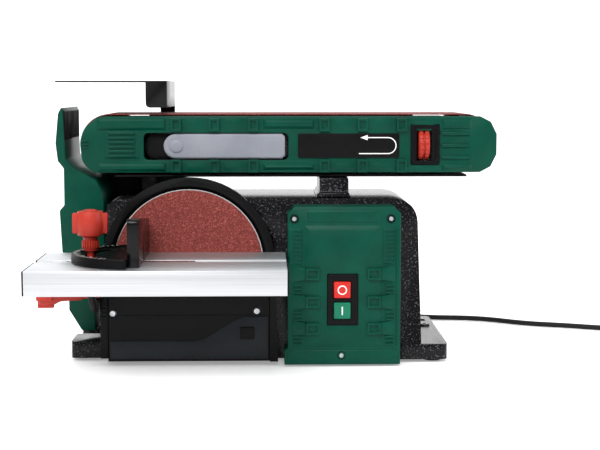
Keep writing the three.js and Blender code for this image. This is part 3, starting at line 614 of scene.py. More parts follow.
# %% Finishes for carried-over nodes
FINISHES = {
    "base_casting": HAMMERED, "arm_post": HAMMERED, "arm_frame": HAMMERED,
    "foot_pad_1": BLACK_RUBBER, "foot_pad_2": BLACK_RUBBER, "foot_pad_3": BLACK_RUBBER,
    "foot_pad_4": BLACK_RUBBER,
    "motor_housing": TURNED, "bearing_front": BRIGHT_STEEL, "bearing_rear": BRIGHT_STEEL,
    "motor_rotor": BRIGHT_STEEL, "motor_pulley": TURNED, "drum_pulley": TURNED,
    "abrasive_disc": ABRASIVE, "disc_plate": TURNED, "disc_guard": BLACK_ABS, "guard_cover": BLACK_ABS,
    "guard_screw_left": ZINC, "guard_screw_right": ZINC,
    "cover_screw_1": ZINC, "cover_screw_2": ZINC, "cover_screw_3": ZINC,
    "switch_cover": GREEN_ABS, "switch_bezel": BLACK_ABS, "stop_button": RED_LENS, "start_button": GREEN_LENS,
    "table_top": EXTRUDED, "table_cap_left": BLACK_ABS, "table_cap_right": BLACK_ABS,
    "trunnion_left": BLACK_ABS, "trunnion_right": BLACK_ABS, "tilt_knob": RED_POLYAMIDE,
    "mitre_bar": BRIGHT_STEEL, "mitre_pivot": ZINC, "mitre_head": BLACK_ABS, "mitre_fence": BLACK_ABS,
    "mitre_knob": RED_POLYAMIDE, "arm_cover": GREEN_ABS, "tracking_bezel": BLACK_ABS,
    "belt_guard": BLACK_ABS, "sanding_belt": ABRASIVE, "drive_drum": BLACK_RUBBER, "idler_drum": TURNED,
    "idler_fork": ZINC, "tension_spring": BRIGHT_STEEL, "tension_lever": GREY_POLYAMIDE,
    "tracking_knob": RED_POLYAMIDE, "work_stop": POWDER_COAT, "stop_bolt": ZINC, "drive_belt": BLACK_RUBBER,
    "drive_cover": BLACK_ABS, "pivot_bracket": POWDER_COAT, "dust_hood": GREEN_ABS, "hood_back": BLACK_ABS,
}
for node, material in FINISHES.items():
    NODES[node].data.materials.clear()
    NODES[node].data.materials.append(material)
    smooth_by_angle(NODES[node].data)
for node in ("cord", "cord_tail", "cord_coil", "cord_tie", "cord_gland", "mains_plug"):
    NODES[node].data.materials.clear()
    NODES[node].data.materials.append(BLACK_RUBBER)
print("finished nodes:", len(FINISHES))

# %% [markdown]
# What repeats on this machine is made by Geometry Nodes: screws, ribs, clips and the teeth of knurled
# wheels. Each tree below takes its sizes as named inputs, ends in Realize Instances and Set Material,
# and is baked to a plain mesh at once.

# %% Tools for Geometry Nodes
KINDS = {"size": "NodeSocketFloat", "count": "NodeSocketInt", "vector": "NodeSocketVector",
         "material": "NodeSocketMaterial"}


def new_tree(name, inputs):
    """An empty geometry tree with inputs given as {name: kind}. Returns the tree and its inputs."""
    tree = bpy.data.node_groups.new(name, "GeometryNodeTree")
    tree.interface.new_socket("Geometry", in_out="INPUT", socket_type="NodeSocketGeometry")
    for label, kind in inputs.items():
        tree.interface.new_socket(label, in_out="INPUT", socket_type=KINDS[kind])
    tree.interface.new_socket("Geometry", in_out="OUTPUT", socket_type="NodeSocketGeometry")
    return tree, tree.nodes.new("NodeGroupInput").outputs


def end_tree(tree, geometry, material):
    real = add_node(tree, "GeometryNodeRealizeInstances", {"Geometry": geometry})
    painted = add_node(tree, "GeometryNodeSetMaterial", {"Geometry": real.outputs[0], "Material": material})
    output = tree.nodes.new("NodeGroupOutput")
    tree.links.new(painted.outputs[0], output.inputs["Geometry"])


def grow(name, tree, points, values, body, bevel_mm=0.0, replaces=()):
    """Runs a tree on a mesh of points in millimetres from the disc, and keeps the result as a piece."""
    mesh = bpy.data.meshes.new(name)
    mesh.from_pydata([at(*p) for p in points], [], [])
    obj = bpy.data.objects.new(name, mesh)
    bpy.context.scene.collection.objects.link(obj)
    modifier = obj.modifiers.new("grow", "NODES")
    modifier.node_group = tree
    identifiers = {item.name: item.identifier for item in tree.interface.items_tree if item.in_out == "INPUT"}
    for label, value in values.items():
        modifier[identifiers[label]] = value
    plain_mesh(obj)
    soften(obj, bevel_mm)
    return settle(obj, body, replaces)


# %% [markdown]
# **Screws** with a domed head and a hexagonal socket. The head is a short cone, and the socket is cut
# out of it with a six-sided cylinder, once; the tree then sets a copy on every point it is given.

# %% Tree: screw heads
def screw_tree():
    tree, given = new_tree("screw_heads", {"Head Radius": "size", "Head Height": "size",
                                           "Socket Radius": "size", "Turn": "vector", "Metal": "material"})
    head = add_node(tree, "GeometryNodeMeshCone", {"Radius Bottom": given["Head Radius"],
                                                   "Depth": given["Head Height"]}, in_Vertices=24)
    top = add_node(tree, "ShaderNodeMath", operation="MULTIPLY")
    top.inputs[1].default_value = 0.72
    tree.links.new(given["Head Radius"], top.inputs[0])
    tree.links.new(top.outputs[0], head.inputs["Radius Top"])
    socket = add_node(tree, "GeometryNodeMeshCylinder", {"Radius": given["Socket Radius"],
                                                         "Depth": given["Head Height"]}, in_Vertices=6)
    up = add_node(tree, "ShaderNodeCombineXYZ", {"Z": given["Head Height"]})
    raised = add_node(tree, "GeometryNodeTransform", {"Geometry": socket.outputs["Mesh"],
                                                      "Translation": up.outputs[0]})
    cut = add_node(tree, "GeometryNodeMeshBoolean", {"Mesh 1": head.outputs["Mesh"]}, operation="DIFFERENCE",
                   solver="EXACT")
    tree.links.new(raised.outputs[0], cut.inputs["Mesh 2"])
    copies = add_node(tree, "GeometryNodeInstanceOnPoints",
                      {"Points": given["Geometry"], "Instance": cut.outputs["Mesh"],
                       "Rotation": given["Turn"]})
    end_tree(tree, copies.outputs[0], given["Metal"])
    return tree


SCREWS = screw_tree()
FACING = {"front": (pi / 2, 0, 0), "back": (-pi / 2, 0, 0), "up": (0, 0, 0), "right": (0, pi / 2, 0)}


def screws(name, points, radius, height, facing, body, replaces=()):
    values = {"Head Radius": radius * MM, "Head Height": height * MM, "Socket Radius": radius * 0.45 * MM,
              "Turn": FACING[facing], "Metal": ZINC}
    return grow(name, SCREWS, points, values, body, 0.0, replaces)


# %% [markdown]
# **Ribs** are one block set again and again along a line: cooling ribs, finger ridges, grille bars. The
# tree makes the line itself, so that a count and a step are all it needs.

# %% Tree: ribs in a row
def rib_tree():
    tree, given = new_tree("ribs_in_a_row", {"Count": "count", "Step": "vector", "Size": "vector",
                                             "Finish": "material"})
    line = add_node(tree, "GeometryNodeMeshLine", {"Count": given["Count"], "Offset": given["Step"]},
                    mode="OFFSET")
    bar = add_node(tree, "GeometryNodeMeshCube", {"Size": given["Size"]})
    rows = add_node(tree, "GeometryNodeInstanceOnPoints",
                    {"Points": given["Geometry"], "Instance": line.outputs["Mesh"]})
    real_rows = add_node(tree, "GeometryNodeRealizeInstances", {"Geometry": rows.outputs[0]})
    bars = add_node(tree, "GeometryNodeInstanceOnPoints",
                    {"Points": real_rows.outputs[0], "Instance": bar.outputs["Mesh"]})
    end_tree(tree, bars.outputs[0], given["Finish"])
    return tree


RIBS = rib_tree()


def ribs(name, starts, count, step, size, material, body, bevel_mm=0.3):
    """Rows of ribs: starts are the centres of each row's first rib."""
    values = {"Count": count, "Step": tuple(s * MM for s in step), "Size": tuple(s * MM for s in size),
              "Finish": material}
    return grow(name, RIBS, starts, values, body, bevel_mm)


# %% [markdown]
# **Clips** hold the two halves of a cover together and show as small square frames. A block with a
# pocket cut in its front makes one, and points say where they go.

# %% Tree: clips
def clip_tree():
    tree, given = new_tree("cover_clips", {"Width": "size", "Depth": "size", "Height": "size", "Wall": "size",
                                           "Finish": "material"})
    size = add_node(tree, "ShaderNodeCombineXYZ",
                    {"X": given["Width"], "Y": given["Depth"], "Z": given["Height"]})
    block = add_node(tree, "GeometryNodeMeshCube", {"Size": size.outputs[0]})
    walls = add_node(tree, "ShaderNodeMath", operation="MULTIPLY")
    walls.inputs[1].default_value = 2.0
    tree.links.new(given["Wall"], walls.inputs[0])
    inner = []
    for side in ("Width", "Height"):
        less = add_node(tree, "ShaderNodeMath", operation="SUBTRACT")
        tree.links.new(given[side], less.inputs[0])
        tree.links.new(walls.outputs[0], less.inputs[1])
        inner.append(less.outputs[0])
    pocket_size = add_node(tree, "ShaderNodeCombineXYZ", {"X": inner[0], "Y": given["Depth"], "Z": inner[1]})
    pocket = add_node(tree, "GeometryNodeMeshCube", {"Size": pocket_size.outputs[0]})
    forward = add_node(tree, "ShaderNodeMath", operation="MULTIPLY")
    forward.inputs[1].default_value = -0.5
    tree.links.new(given["Depth"], forward.inputs[0])
    shift = add_node(tree, "ShaderNodeCombineXYZ", {"Y": forward.outputs[0]})
    moved = add_node(tree, "GeometryNodeTransform", {"Geometry": pocket.outputs["Mesh"],
                                                     "Translation": shift.outputs[0]})
    cut = add_node(tree, "GeometryNodeMeshBoolean", {"Mesh 1": block.outputs["Mesh"]}, operation="DIFFERENCE",
                   solver="EXACT")
    tree.links.new(moved.outputs[0], cut.inputs["Mesh 2"])
    copies = add_node(tree, "GeometryNodeInstanceOnPoints",
                      {"Points": given["Geometry"], "Instance": cut.outputs["Mesh"]})
    end_tree(tree, copies.outputs[0], given["Finish"])
    return tree


CLIPS = clip_tree()


def clips(name, points, width, depth, height, wall, body):
    values = {"Width": width * MM, "Depth": depth * MM, "Height": height * MM, "Wall": wall * MM,
              "Finish": GREEN_ABS}
    return grow(name, CLIPS, points, values, body, 0.35)


# %% [markdown]
# **Knurling** is a ring of blocks that each look outward. Align Rotation to Vector turns every copy
# by its place on the circle.

# %% Tree: teeth round a wheel
def teeth_tree():
    tree, given = new_tree("teeth_round_a_wheel", {"Teeth": "count", "Radius": "size", "Size": "vector",
                                                   "Axis Turn": "vector", "Finish": "material"})
    circle = add_node(tree, "GeometryNodeMeshCircle", {"Vertices": given["Teeth"], "Radius": given["Radius"]})
    outward = tree.nodes.new("GeometryNodeInputPosition")
    facing = add_node(tree, "FunctionNodeAlignRotationToVector", {"Vector": outward.outputs[0]}, axis="X")
    tooth = add_node(tree, "GeometryNodeMeshCube", {"Size": given["Size"]})
    teeth = add_node(tree, "GeometryNodeInstanceOnPoints",
                     {"Points": circle.outputs["Mesh"], "Instance": tooth.outputs["Mesh"],
                      "Rotation": facing.outputs[0]})
    real = add_node(tree, "GeometryNodeRealizeInstances", {"Geometry": teeth.outputs[0]})
    turned = add_node(tree, "GeometryNodeTransform",
                      {"Geometry": real.outputs[0], "Rotation": given["Axis Turn"]})
    placed_rings = add_node(tree, "GeometryNodeInstanceOnPoints",
                            {"Points": given["Geometry"], "Instance": turned.outputs[0]})
    end_tree(tree, placed_rings.outputs[0], given["Finish"])
    return tree


TEETH = teeth_tree()


def teeth(name, centre, count, radius, size, turn, material, body, bevel_mm=0.3):
    values = {"Teeth": count, "Radius": radius * MM, "Size": tuple(s * MM for s in size), "Axis Turn": turn,
              "Finish": material}
    return grow(name, TEETH, [centre], values, body, bevel_mm)


# %% [markdown]
# **The sanding belt** follows a rule: a rectangle whose corners are rounded by the drum's radius is
# exactly a belt round two equal drums. The tree fillets such a rectangle and sweeps the belt's section
# along it, so drum size, span, width and thickness are all that it takes.

# %% Tree: the endless belt
def belt_tree():
    tree, given = new_tree("endless_belt", {"Span": "size", "Radius": "size", "Width": "size",
                                            "Thickness": "size", "Cloth": "material"})
    across = add_node(tree, "ShaderNodeMath", operation="MULTIPLY")
    across.inputs[1].default_value = 2.0
    tree.links.new(given["Radius"], across.inputs[0])
    along = add_node(tree, "ShaderNodeMath", operation="ADD")
    tree.links.new(given["Span"], along.inputs[0])
    tree.links.new(across.outputs[0], along.inputs[1])
    loop = add_node(tree, "GeometryNodeCurvePrimitiveQuadrilateral",
                    {"Width": along.outputs[0], "Height": across.outputs[0]})
    corner = add_node(tree, "ShaderNodeMath", operation="MULTIPLY")
    corner.inputs[1].default_value = 0.999
    tree.links.new(given["Radius"], corner.inputs[0])
    round_loop = add_node(tree, "GeometryNodeFilletCurve",
                          {"Curve": loop.outputs[0], "Radius": corner.outputs[0]}, mode="POLY")
    round_loop.inputs["Count"].default_value = 24
    section = add_node(tree, "GeometryNodeCurvePrimitiveQuadrilateral",
                       {"Width": given["Thickness"], "Height": given["Width"]})
    swept = add_node(tree, "GeometryNodeCurveToMesh",
                     {"Curve": round_loop.outputs[0], "Profile Curve": section.outputs[0]})
    upright = add_node(tree, "GeometryNodeTransform", {"Geometry": swept.outputs[0]})
    upright.inputs["Rotation"].default_value = (pi / 2, 0, 0)
    copies = add_node(tree, "GeometryNodeInstanceOnPoints",
                      {"Points": given["Geometry"], "Instance": upright.outputs[0]})
    end_tree(tree, copies.outputs[0], given["Cloth"])
    return tree


BELT_T = 1.0
belt_low, belt_high = extent("sanding_belt")
belt_radius = (belt_high.z - belt_low.z) / 2 - BELT_T / 2
belt_middle = (belt_low + belt_high) / 2
belt_span = belt_high.x - belt_low.x - 2 * belt_radius - BELT_T
belt_values = {"Span": belt_span * MM, "Radius": belt_radius * MM, "Width": (belt_high.y - belt_low.y) * MM,
               "Thickness": BELT_T * MM, "Cloth": ABRASIVE}
grow("sanding_belt_cloth", belt_tree(), [tuple(belt_middle)], belt_values, "arm", 0.0, ("sanding_belt",))
print("belt loop:", [round(v, 1) for v in (belt_high - belt_low)], "mm")

# %% [markdown]
# **Arm cover.** The moulding keeps the CAD shape with soft edges. On its front stand shallow panels with
# sloping sides, a block of finger ridges at the left, six pairs of clips and three ribs at the right end.

# %% Arm cover
ARM_Y = extent("arm_cover")[0].y
COVER_TOP, COVER_FOOT = extent("arm_cover")[1].z, extent("arm_cover")[0].z
CLIP_X = (-14.0, 24.8, 64.8, 137.7, 176.8, 217.0)
softened_copy("arm_cover", GREEN_ABS, "arm", 1.0)


def panel(bm, x0, x1, z0, z1, rise=2.2, slope=3.4, sink=0.4):
    """A flat field that stands off the cover's face on four sloping sides."""
    add_prism(bm, "y", oblong(x0, x1, z0, z1), ARM_Y + sink, ARM_Y - rise, slope)


def arm_panels():
    bm = bmesh.new()
    for low, high in ((COVER_FOOT + 0.6, 202.6), (234.6, COVER_TOP - 0.6)):
        panel(bm, -95, -24, low, high)
        panel(bm, -4.5, 15.6, low, high, 1.0)
        panel(bm, 34, 55.4, low, high, 1.0)
        panel(bm, 74.5, 127.5, low + 1.5, high - 1.5)
        panel(bm, 148, 167, low, high, 1.0)
        panel(bm, 187, 207.5, low, high, 1.0)
        panel(bm, 228, 252, low, high - 3, 1.0)
        panel(bm, 258, 290, low + 1, high - 1)
    panel(bm, -88, -51, 205.8, 235.6, 0.9, 1.6)
    panel(bm, 111, 214, 205.4, 233.4, 0.6, 1.0)
    return make_piece("arm_cover_panels", bm, GREEN_ABS, "arm", 0.5)


arm_panels()
ARM_RIBS = {  # first rib's centre, count, spacing, size and edge radius
    "arm_finger_ridges": ((-69.5, ARM_Y - 1.3, 209.2), 6, 4.6, (27, 2.8, 2.6), 0.7),
    "arm_nose_ridges": ((-107.0, ARM_Y + 0.4, 217.4), 3, 3.4, (6.5, 3.2, 1.9), 0.5),
    "arm_end_ribs": ((272.5, ARM_Y - 0.6, 207.2), 3, 12.2, (29, 2.6, 3.6), 0.9),
}
for name, (first, count, spacing, size, edge) in ARM_RIBS.items():
    ribs(name, [first], count, (0, 0, spacing), size, GREEN_ABS, "arm", edge)
for row, z in (("top", 240.8), ("foot", 198.6)):
    points = [(x, ARM_Y - 1.2, z) for x in CLIP_X]
    clips("arm_clips_" + row, points, width=10.8, depth=4.8, height=13.4, wall=2.4, body="arm")
print("arm cover face at Y", round(ARM_Y, 1), "clips:", 2 * len(CLIP_X))

# %% [markdown]
# **Lever well, label and tracking window.** The tension lever lies in a black-lined well with a domed
# thumb rest. The label carries nothing but an arrow for the belt's direction of travel.

# %% Well and lever
WELL = (-47.2, 100.8, 204.7, 232.5)


def well_liner():
    bm = bmesh.new()
    x0, x1, z0, z1 = WELL
    add_prism(bm, "y", rounded(x0 + 0.6, x1 - 22, z0 + 0.6, z1 - 0.6, 12), ARM_Y + 9.5, ARM_Y + 8.5)
    for low, high in ((z0 + 0.2, z0 + 0.8), (z1 - 0.8, z1 - 0.2)):
        add_block(bm, x0 + 14, x1 - 6, ARM_Y + 0.5, ARM_Y + 9, low, high)
    return make_piece("lever_well_liner", bm, BLACK_ABS, "arm", 0.2)


def lever():
    low, high = extent("tension_lever")
    middle = (low.z + high.z) / 2
    radius = (high.z - low.z) / 2
    outline = arc(low.x + radius, middle, radius, 90, 270, 20) + [(high.x - 3, low.z), (high.x, low.z + 3),
                                                                  (high.x, high.z - 3), (high.x - 3, high.z)]
    bm = bmesh.new()
    add_prism(bm, "y", outline, high.y, low.y + 1.2)
    add_prism(bm, "y", outline, low.y + 1.2, low.y, 1.4)
    dome = [(7.2 * cos(radians(a)), low.y + 0.1 - 2.0 * sin(radians(a))) for a in (0, 18, 36, 54, 72, 88)]
    add_turned(bm, "y", dome, (low.x + radius + 0.5, middle), 32)
    for x in (low.x + 36, low.x + 100):
        add_block(bm, x, x + 1.0, low.y - 0.15, low.y + 0.6, low.z + 3.2, high.z - 3.2)
    return make_piece("tension_lever_grip", bm, GREY_POLYAMIDE, "tension_lever", 0.7,
                      ("tension_lever",))


well_liner()
lever()

# %% Label and its arrow
LABEL = (110.4, 214.6, 206.8, 232.0)


def stroke(bm, path, width, start, end, axis="y"):
    """A flat line of constant width drawn along a path across an axis."""
    for (ua, va), (ub, vb) in zip(path, path[1:]):
        length = max(hypot(ub - ua, vb - va), 1e-6)
        nu, nv = -(vb - va) / length * width / 2, (ub - ua) / length * width / 2
        outline = [(ua - nu, va - nv), (ub - nu, vb - nv), (ub + nu, vb + nv), (ua + nu, va + nv)]
        add_prism(bm, axis, outline, start, end)


def travel_arrow():
    bm = bmesh.new()
    y0, y1 = ARM_Y - 0.9, ARM_Y - 1.05
    bend = arc(203, 219.4, 8.2, 90, -90, 14)
    stroke(bm, [(181, 227.6), (203, 227.6)], 1.0, y0, y1)
    stroke(bm, bend, 1.0, y0, y1)
    stroke(bm, [(203, 211.2), (173, 211.2)], 1.0, y0, y1)
    add_prism(bm, "y", [(174.5, 227.6), (182, 224.9), (182, 230.3)], y0, y1)
    return make_piece("travel_arrow_print", bm, WHITE_INK, "arm")


prism_piece("arm_label_plate", [(rounded(*LABEL, 2.4), ARM_Y - 0.3, ARM_Y - 0.95)], BLACK_ABS, "arm", 0.15)
travel_arrow()

# %% Tracking window and wheel
def tracking_frame():
    low, high = extent("tracking_bezel")
    bm = bmesh.new()
    outer = rounded(low.x - 0.6, high.x + 0.6, low.z + 0.2, high.z - 0.2, 4)
    inner = rounded(low.x + 3.2, high.x - 3.2, low.z + 4.2, high.z - 4.2, 2.5)
    edge = rounded(low.x, high.x, low.z + 0.8, high.z - 0.8, 3.6)
    rings = [(ARM_Y + 1.0, outer), (ARM_Y - 1.1, outer), (ARM_Y - 1.6, edge), (ARM_Y - 1.6, inner),
             (ARM_Y + 6.0, inner)]
    add_loft(bm, "y", rings, capped=False)
    return make_piece("tracking_window_frame", bm, BLACK_ABS, "arm", 0.0)


WHEEL = extent("tracking_knob")
WHEEL_Z = (WHEEL[0].z + WHEEL[1].z) / 2
WHEEL_Y = (WHEEL[0].y + WHEEL[1].y) / 2


def tracking_wheel():
    low, high = WHEEL
    r = (high.z - low.z) / 2
    bm = bmesh.new()
    half = [(4, 0), (r - 2.2, 0), (r - 1.2, 1.0), (r - 1.2, 4.4), (r - 2.6, 5.0)]
    profile = [(radius, low.x + x) for radius, x in half] + [(radius, high.x - x) for radius, x in half[::-1]]
    add_turned(bm, "x", profile, (WHEEL_Y, WHEEL_Z))
    return make_piece("tracking_wheel_hub", bm, RED_POLYAMIDE, "tracking_knob", 0.3, ("tracking_knob",))


tracking_frame()
tracking_wheel()
wheel_r = (WHEEL[1].z - WHEEL[0].z) / 2 - 1.2
for side, x in (("left", WHEEL[0].x + 2.7), ("right", WHEEL[1].x - 2.7)):
    teeth("tracking_teeth_" + side, (x, WHEEL_Y, WHEEL_Z), 18, wheel_r, (2.2, 3.4, 3.8), (0, pi / 2, 0),
          RED_POLYAMIDE, "tracking_knob", 0.5)
print("tracking wheel radius", round(wheel_r + 1.2, 1), "mm")

# %% [markdown]
# **Rail behind the belt.** A black strip runs under the belt's upper run and shows as a dark line over
# the cover.

# %% Belt platen
def belt_platen():
    low, high = extent("sanding_belt")
    radius = (high.z - low.z) / 2
    bm = bmesh.new()
    left, right = low.x + radius + 18, high.x - radius - 26
    add_block(bm, left, right, low.y - 1.2, low.y - 0.2, high.z - 6.4, high.z - 1.6)
    return make_piece("belt_platen_edge", bm, BLACK_ABS, "arm", 0.3)


belt_platen()

# %% [markdown]
# ** Switch box.** A raised middle field with sloping sides carries the switch. Columns of short ribs and three
# pairs of clips run down both flanks, and a thin rail down the right one.

# %% Switch box
BOX_LOW, BOX_HIGH = extent("switch_cover")
BOX_Y = BOX_LOW.y
BOX_CLIP_Z = (94.0, 66.0, 39.0)
softened_copy("switch_cover", GREEN_ABS, "base", 1.6)


def box_fields():
    bm = bmesh.new()
    low, high = extent("switch_bezel")
    foot = rounded(115, 193, 19, 143.5, 0.8)
    face = rounded(121.5, 186.5, 25.5, 137, 0.8)
    window = rounded(low.x - 0.3, high.x + 0.3, low.z - 0.3, high.z + 0.3, 0.8)
    back, front = BOX_Y + 0.5, BOX_Y - 2.4
    rings = [(back, foot), (front, face), (front, window), (back, window), (back, foot)]
    add_loft(bm, "y", rings, capped=False)
    bmesh.ops.remove_doubles(bm, verts=bm.verts, dist=0.001)
    bmesh.ops.recalc_face_normals(bm, faces=bm.faces)
    for x0, x1 in ((99.5, 113.5), (193.5, 205.0)):
        add_prism(bm, "y", oblong(x0, x1, 103, 140), BOX_Y + 0.5, BOX_Y - 0.7, 1.2)
    add_prism(bm, "y", oblong(98, 210, 2.6, 17.5), BOX_Y + 0.5, BOX_Y - 0.8, 1.4)
    add_prism(bm, "y", oblong(118, 190, 144.5, 158), BOX_Y + 0.5, BOX_Y - 0.7, 1.8)
    return make_piece("switch_box_fields", bm, GREEN_ABS, "base", 0.5)


def add_ramp(bm, corners, fronts, back):
    """A block over (x, z) corners whose front lies at a depth of its own at every corner."""
    near = [bm.verts.new((x, y, z)) for (x, z), y in zip(corners, fronts)]
    far = [bm.verts.new((x, back, z)) for x, z in corners]
    count = len(corners)
    faces = [bm.faces.new(near), bm.faces.new(far[::-1])]
    for i in range(count):
        j = (i + 1) % count
        faces.append(bm.faces.new((near[i], far[i], far[j], near[j])))
    bmesh.ops.recalc_face_normals(bm, faces=faces)


def box_ramps():
    bm = bmesh.new()
    for z in BOX_CLIP_Z:
        for outer, inner in ((103.5, 117.0), (206.0, 192.2)):
            corners = [(outer, z - 8.2), (inner, z - 5.6), (inner, z + 5.6), (outer, z + 8.2)]
            front = [BOX_Y - 0.2, BOX_Y - 3.8, BOX_Y - 3.8, BOX_Y - 0.2]
            add_ramp(bm, corners, front, BOX_Y + 0.4)
    add_block(bm, 208.0, 209.3, BOX_Y - 1.0, BOX_Y + 0.5, 22, 139)
    return make_piece("switch_box_ramps", bm, GREEN_ABS, "base", 0.4)


box_fields()
box_ramps()
for side, x in (("left", 109.0), ("right", 201.0)):
    for part, z, count in (("top", 105.5, 9), ("upper", 74.8, 3), ("lower", 47.6, 3), ("foot", 22.5, 3)):
        ribs("box_ribs_" + side + "_" + part, [(x, BOX_Y - 0.7, z)], count, (0, 0, 4.0), (8.5, 2.2, 1.7),
             GREEN_ABS, "base", 0.4)
box_clip_points = [(x, BOX_Y - 3.0, z) for z in BOX_CLIP_Z for x in (124.0, 185.2)]
clips("box_clips", box_clip_points, width=13.6, depth=5.0, height=11.6, wall=2.2, body="base")

# %% Switch bezel, buttons and their symbols
def add_grid_plate(bm, xs, zs, holes, y0, y1):
    """A plate over a grid of x and z lines, open in the cells named in holes."""
    back, front = [{(i, j): bm.verts.new((x, y, z)) for i, x in enumerate(xs) for j, z in enumerate(zs)}
                   for y in (y0, y1)]
    solid = {(i, j) for i in range(len(xs) - 1) for j in range(len(zs) - 1)} - set(holes)
    faces = []
    for i, j in solid:
        ring = [(i, j), (i + 1, j), (i + 1, j + 1), (i, j + 1)]
        faces += [bm.faces.new([front[k] for k in ring]), bm.faces.new([back[k] for k in ring[::-1]])]
        neighbours = [(i, j - 1), (i + 1, j), (i, j + 1), (i - 1, j)]
        for start, end, beside in zip(ring, ring[1:] + ring[:1], neighbours):
            if beside not in solid:
                faces.append(bm.faces.new((front[end], front[start], back[start], back[end])))
    bmesh.ops.recalc_face_normals(bm, faces=faces)


BUTTON_GAP = 0.35


def bezel():
    low, high = extent("switch_bezel")
    stop_low, stop_high = extent("stop_button")
    start_low, start_high = extent("start_button")
    xs = [low.x, stop_low.x - BUTTON_GAP, stop_high.x + BUTTON_GAP, high.x]
    zs = [low.z, start_low.z - BUTTON_GAP, start_high.z + BUTTON_GAP, stop_low.z - BUTTON_GAP,
          stop_high.z + BUTTON_GAP, high.z]
    bm = bmesh.new()
    add_grid_plate(bm, xs, zs, [(1, 1), (1, 3)], low.y + 1.0, low.y - 1.8)
    return make_piece("switch_bezel_frame", bm, BLACK_ABS, "base", 0.8, ("switch_bezel",))


def button(node, material):
    low, high = extent(node)
    bm = bmesh.new()
    add_loft(bm, "y", [(high.y, rounded(low.x, high.x, low.z, high.z, 1.2)),
                       (low.y - 1.6, rounded(low.x, high.x, low.z, high.z, 1.2)),
                       (low.y - 2.6, rounded(low.x + 0.9, high.x - 0.9, low.z + 0.9, high.z - 0.9, 1.0))])
    return make_piece(node + "_cap", bm, material, node, 0.25, (node,))


def symbols():
    low, high = extent("stop_button")
    middle_x, middle_z = (low.x + high.x) / 2, (low.z + high.z) / 2
    face = low.y - 2.6
    bm = bmesh.new()
    outer, inner = [arc(middle_x, middle_z, radius, 0, 345, 23) for radius in (4.7, 3.6)]
    rings = [(face, outer), (face - 0.08, outer), (face - 0.08, inner), (face, inner)]
    add_loft(bm, "y", rings, capped=False)
    make_piece("stop_ring_print", bm, WHITE_INK, "stop_button")
    low, high = extent("start_button")
    middle_z = (low.z + high.z) / 2
    bm = bmesh.new()
    add_block(bm, middle_x - 0.6, middle_x + 0.6, face - 0.08, face, middle_z - 4.2, middle_z + 4.2)
    make_piece("start_bar_print", bm, WHITE_INK, "start_button")


bezel()
button("stop_button", RED_LENS)
button("start_button", GREEN_LENS)
symbols()
BOX_SCREWS = {"cover_screw_1": (105.7, 149.1), "cover_screw_2": (202.0, 149.1),
              "cover_screw_3": (152.9, 11.5)}


def counterbores():
    bm = bmesh.new()
    profile = [(4.3, BOX_Y + 0.3), (4.3, BOX_Y - 1.0), (3.7, BOX_Y - 1.0), (3.4, BOX_Y + 0.2)]
    for centre in BOX_SCREWS.values():
        add_turned(bm, "y", profile, centre, 32)
    return make_piece("screw_counterbores", bm, BLACK_ABS, "base", 0.15)


counterbores()
screws("cover_screw_heads", [(x, BOX_Y - 0.2, z) for x, z in BOX_SCREWS.values()], 2.9, 1.6, "front", "base",
       tuple(BOX_SCREWS))
print("switch box", [round(v, 1) for v in (BOX_HIGH - BOX_LOW)], "mm with", len(BOX_SCREWS), "screws")

# %% [markdown]
# **Castings and mouldings.** These keep the CAD shape, with the soft edges that a mould or a coat of
# thick enamel leaves. A bright line along each edge is what tells the parts from one another.

# %% Soft-edged parts
SOFT_PARTS = [
    ("base_casting", HAMMERED, "base", 1.6),
    ("arm_post", HAMMERED, "base", 1.2),
    ("arm_frame", HAMMERED, "arm", 0.9),
    ("disc_guard", BLACK_ABS, "base", 0.8),
    ("dust_hood", GREEN_ABS, "base", 1.2),
    ("hood_back", BLACK_ABS, "base", 0.5),
    ("table_top", EXTRUDED, "table", 0.4),
    ("table_cap_left", BLACK_ABS, "table", 0.6),
    ("table_cap_right", BLACK_ABS, "table", 0.6),
    ("trunnion_left", BLACK_ABS, "table", 0.7),
    ("trunnion_right", BLACK_ABS, "table", 0.7),
    ("mitre_head", BLACK_ABS, "mitre_head", 0.9),
    ("mitre_fence", POWDER_COAT, "mitre_head", 0.8),
    ("mitre_knob", RED_POLYAMIDE, "mitre_knob", 1.2),
    ("tilt_knob", RED_POLYAMIDE, "tilt_knob", 1.2),
    ("mitre_bar", BRIGHT_STEEL, "mitre_slide", 0.4),
    ("work_stop", POWDER_COAT, "arm", 0.4),
    ("belt_guard", BLACK_ABS, "arm", 0.4),
    ("drive_cover", BLACK_ABS, "base", 1.4),
    ("pivot_bracket", POWDER_COAT, "base", 0.5),
]
for node, material, body, bevel in SOFT_PARTS:
    softened_copy(node, material, body, bevel)
print("soft-edged parts:", len(SOFT_PARTS))

# %% [markdown]
# **Guard cover.** A door closes the lower half of the disc guard. A joint line crosses it, a slate-grey
# relief sweeps up to the right below that line, and two screws hold it.

# %% Guard cover
RELIEF_LEFT_Z, RELIEF_RISE = 25.7, 24.2


def guard_relief_outline(low, high):
    """Low on the left, then an S-shaped sweep up to the joint line on the right."""
    steps = (0, 0.15, 0.3, 0.45, 0.6, 0.75, 0.9, 1.0)
    sweep = [(4 + 55 * t, RELIEF_LEFT_Z + RELIEF_RISE * t * t * (3 - 2 * t)) for t in steps]
    foot = [(low.x + 2, low.z + 2.5), (high.x - 2, low.z + 2.5), (high.x - 2, RELIEF_LEFT_Z + RELIEF_RISE)]
    return foot + sweep[::-1] + [(low.x + 2, RELIEF_LEFT_Z)]


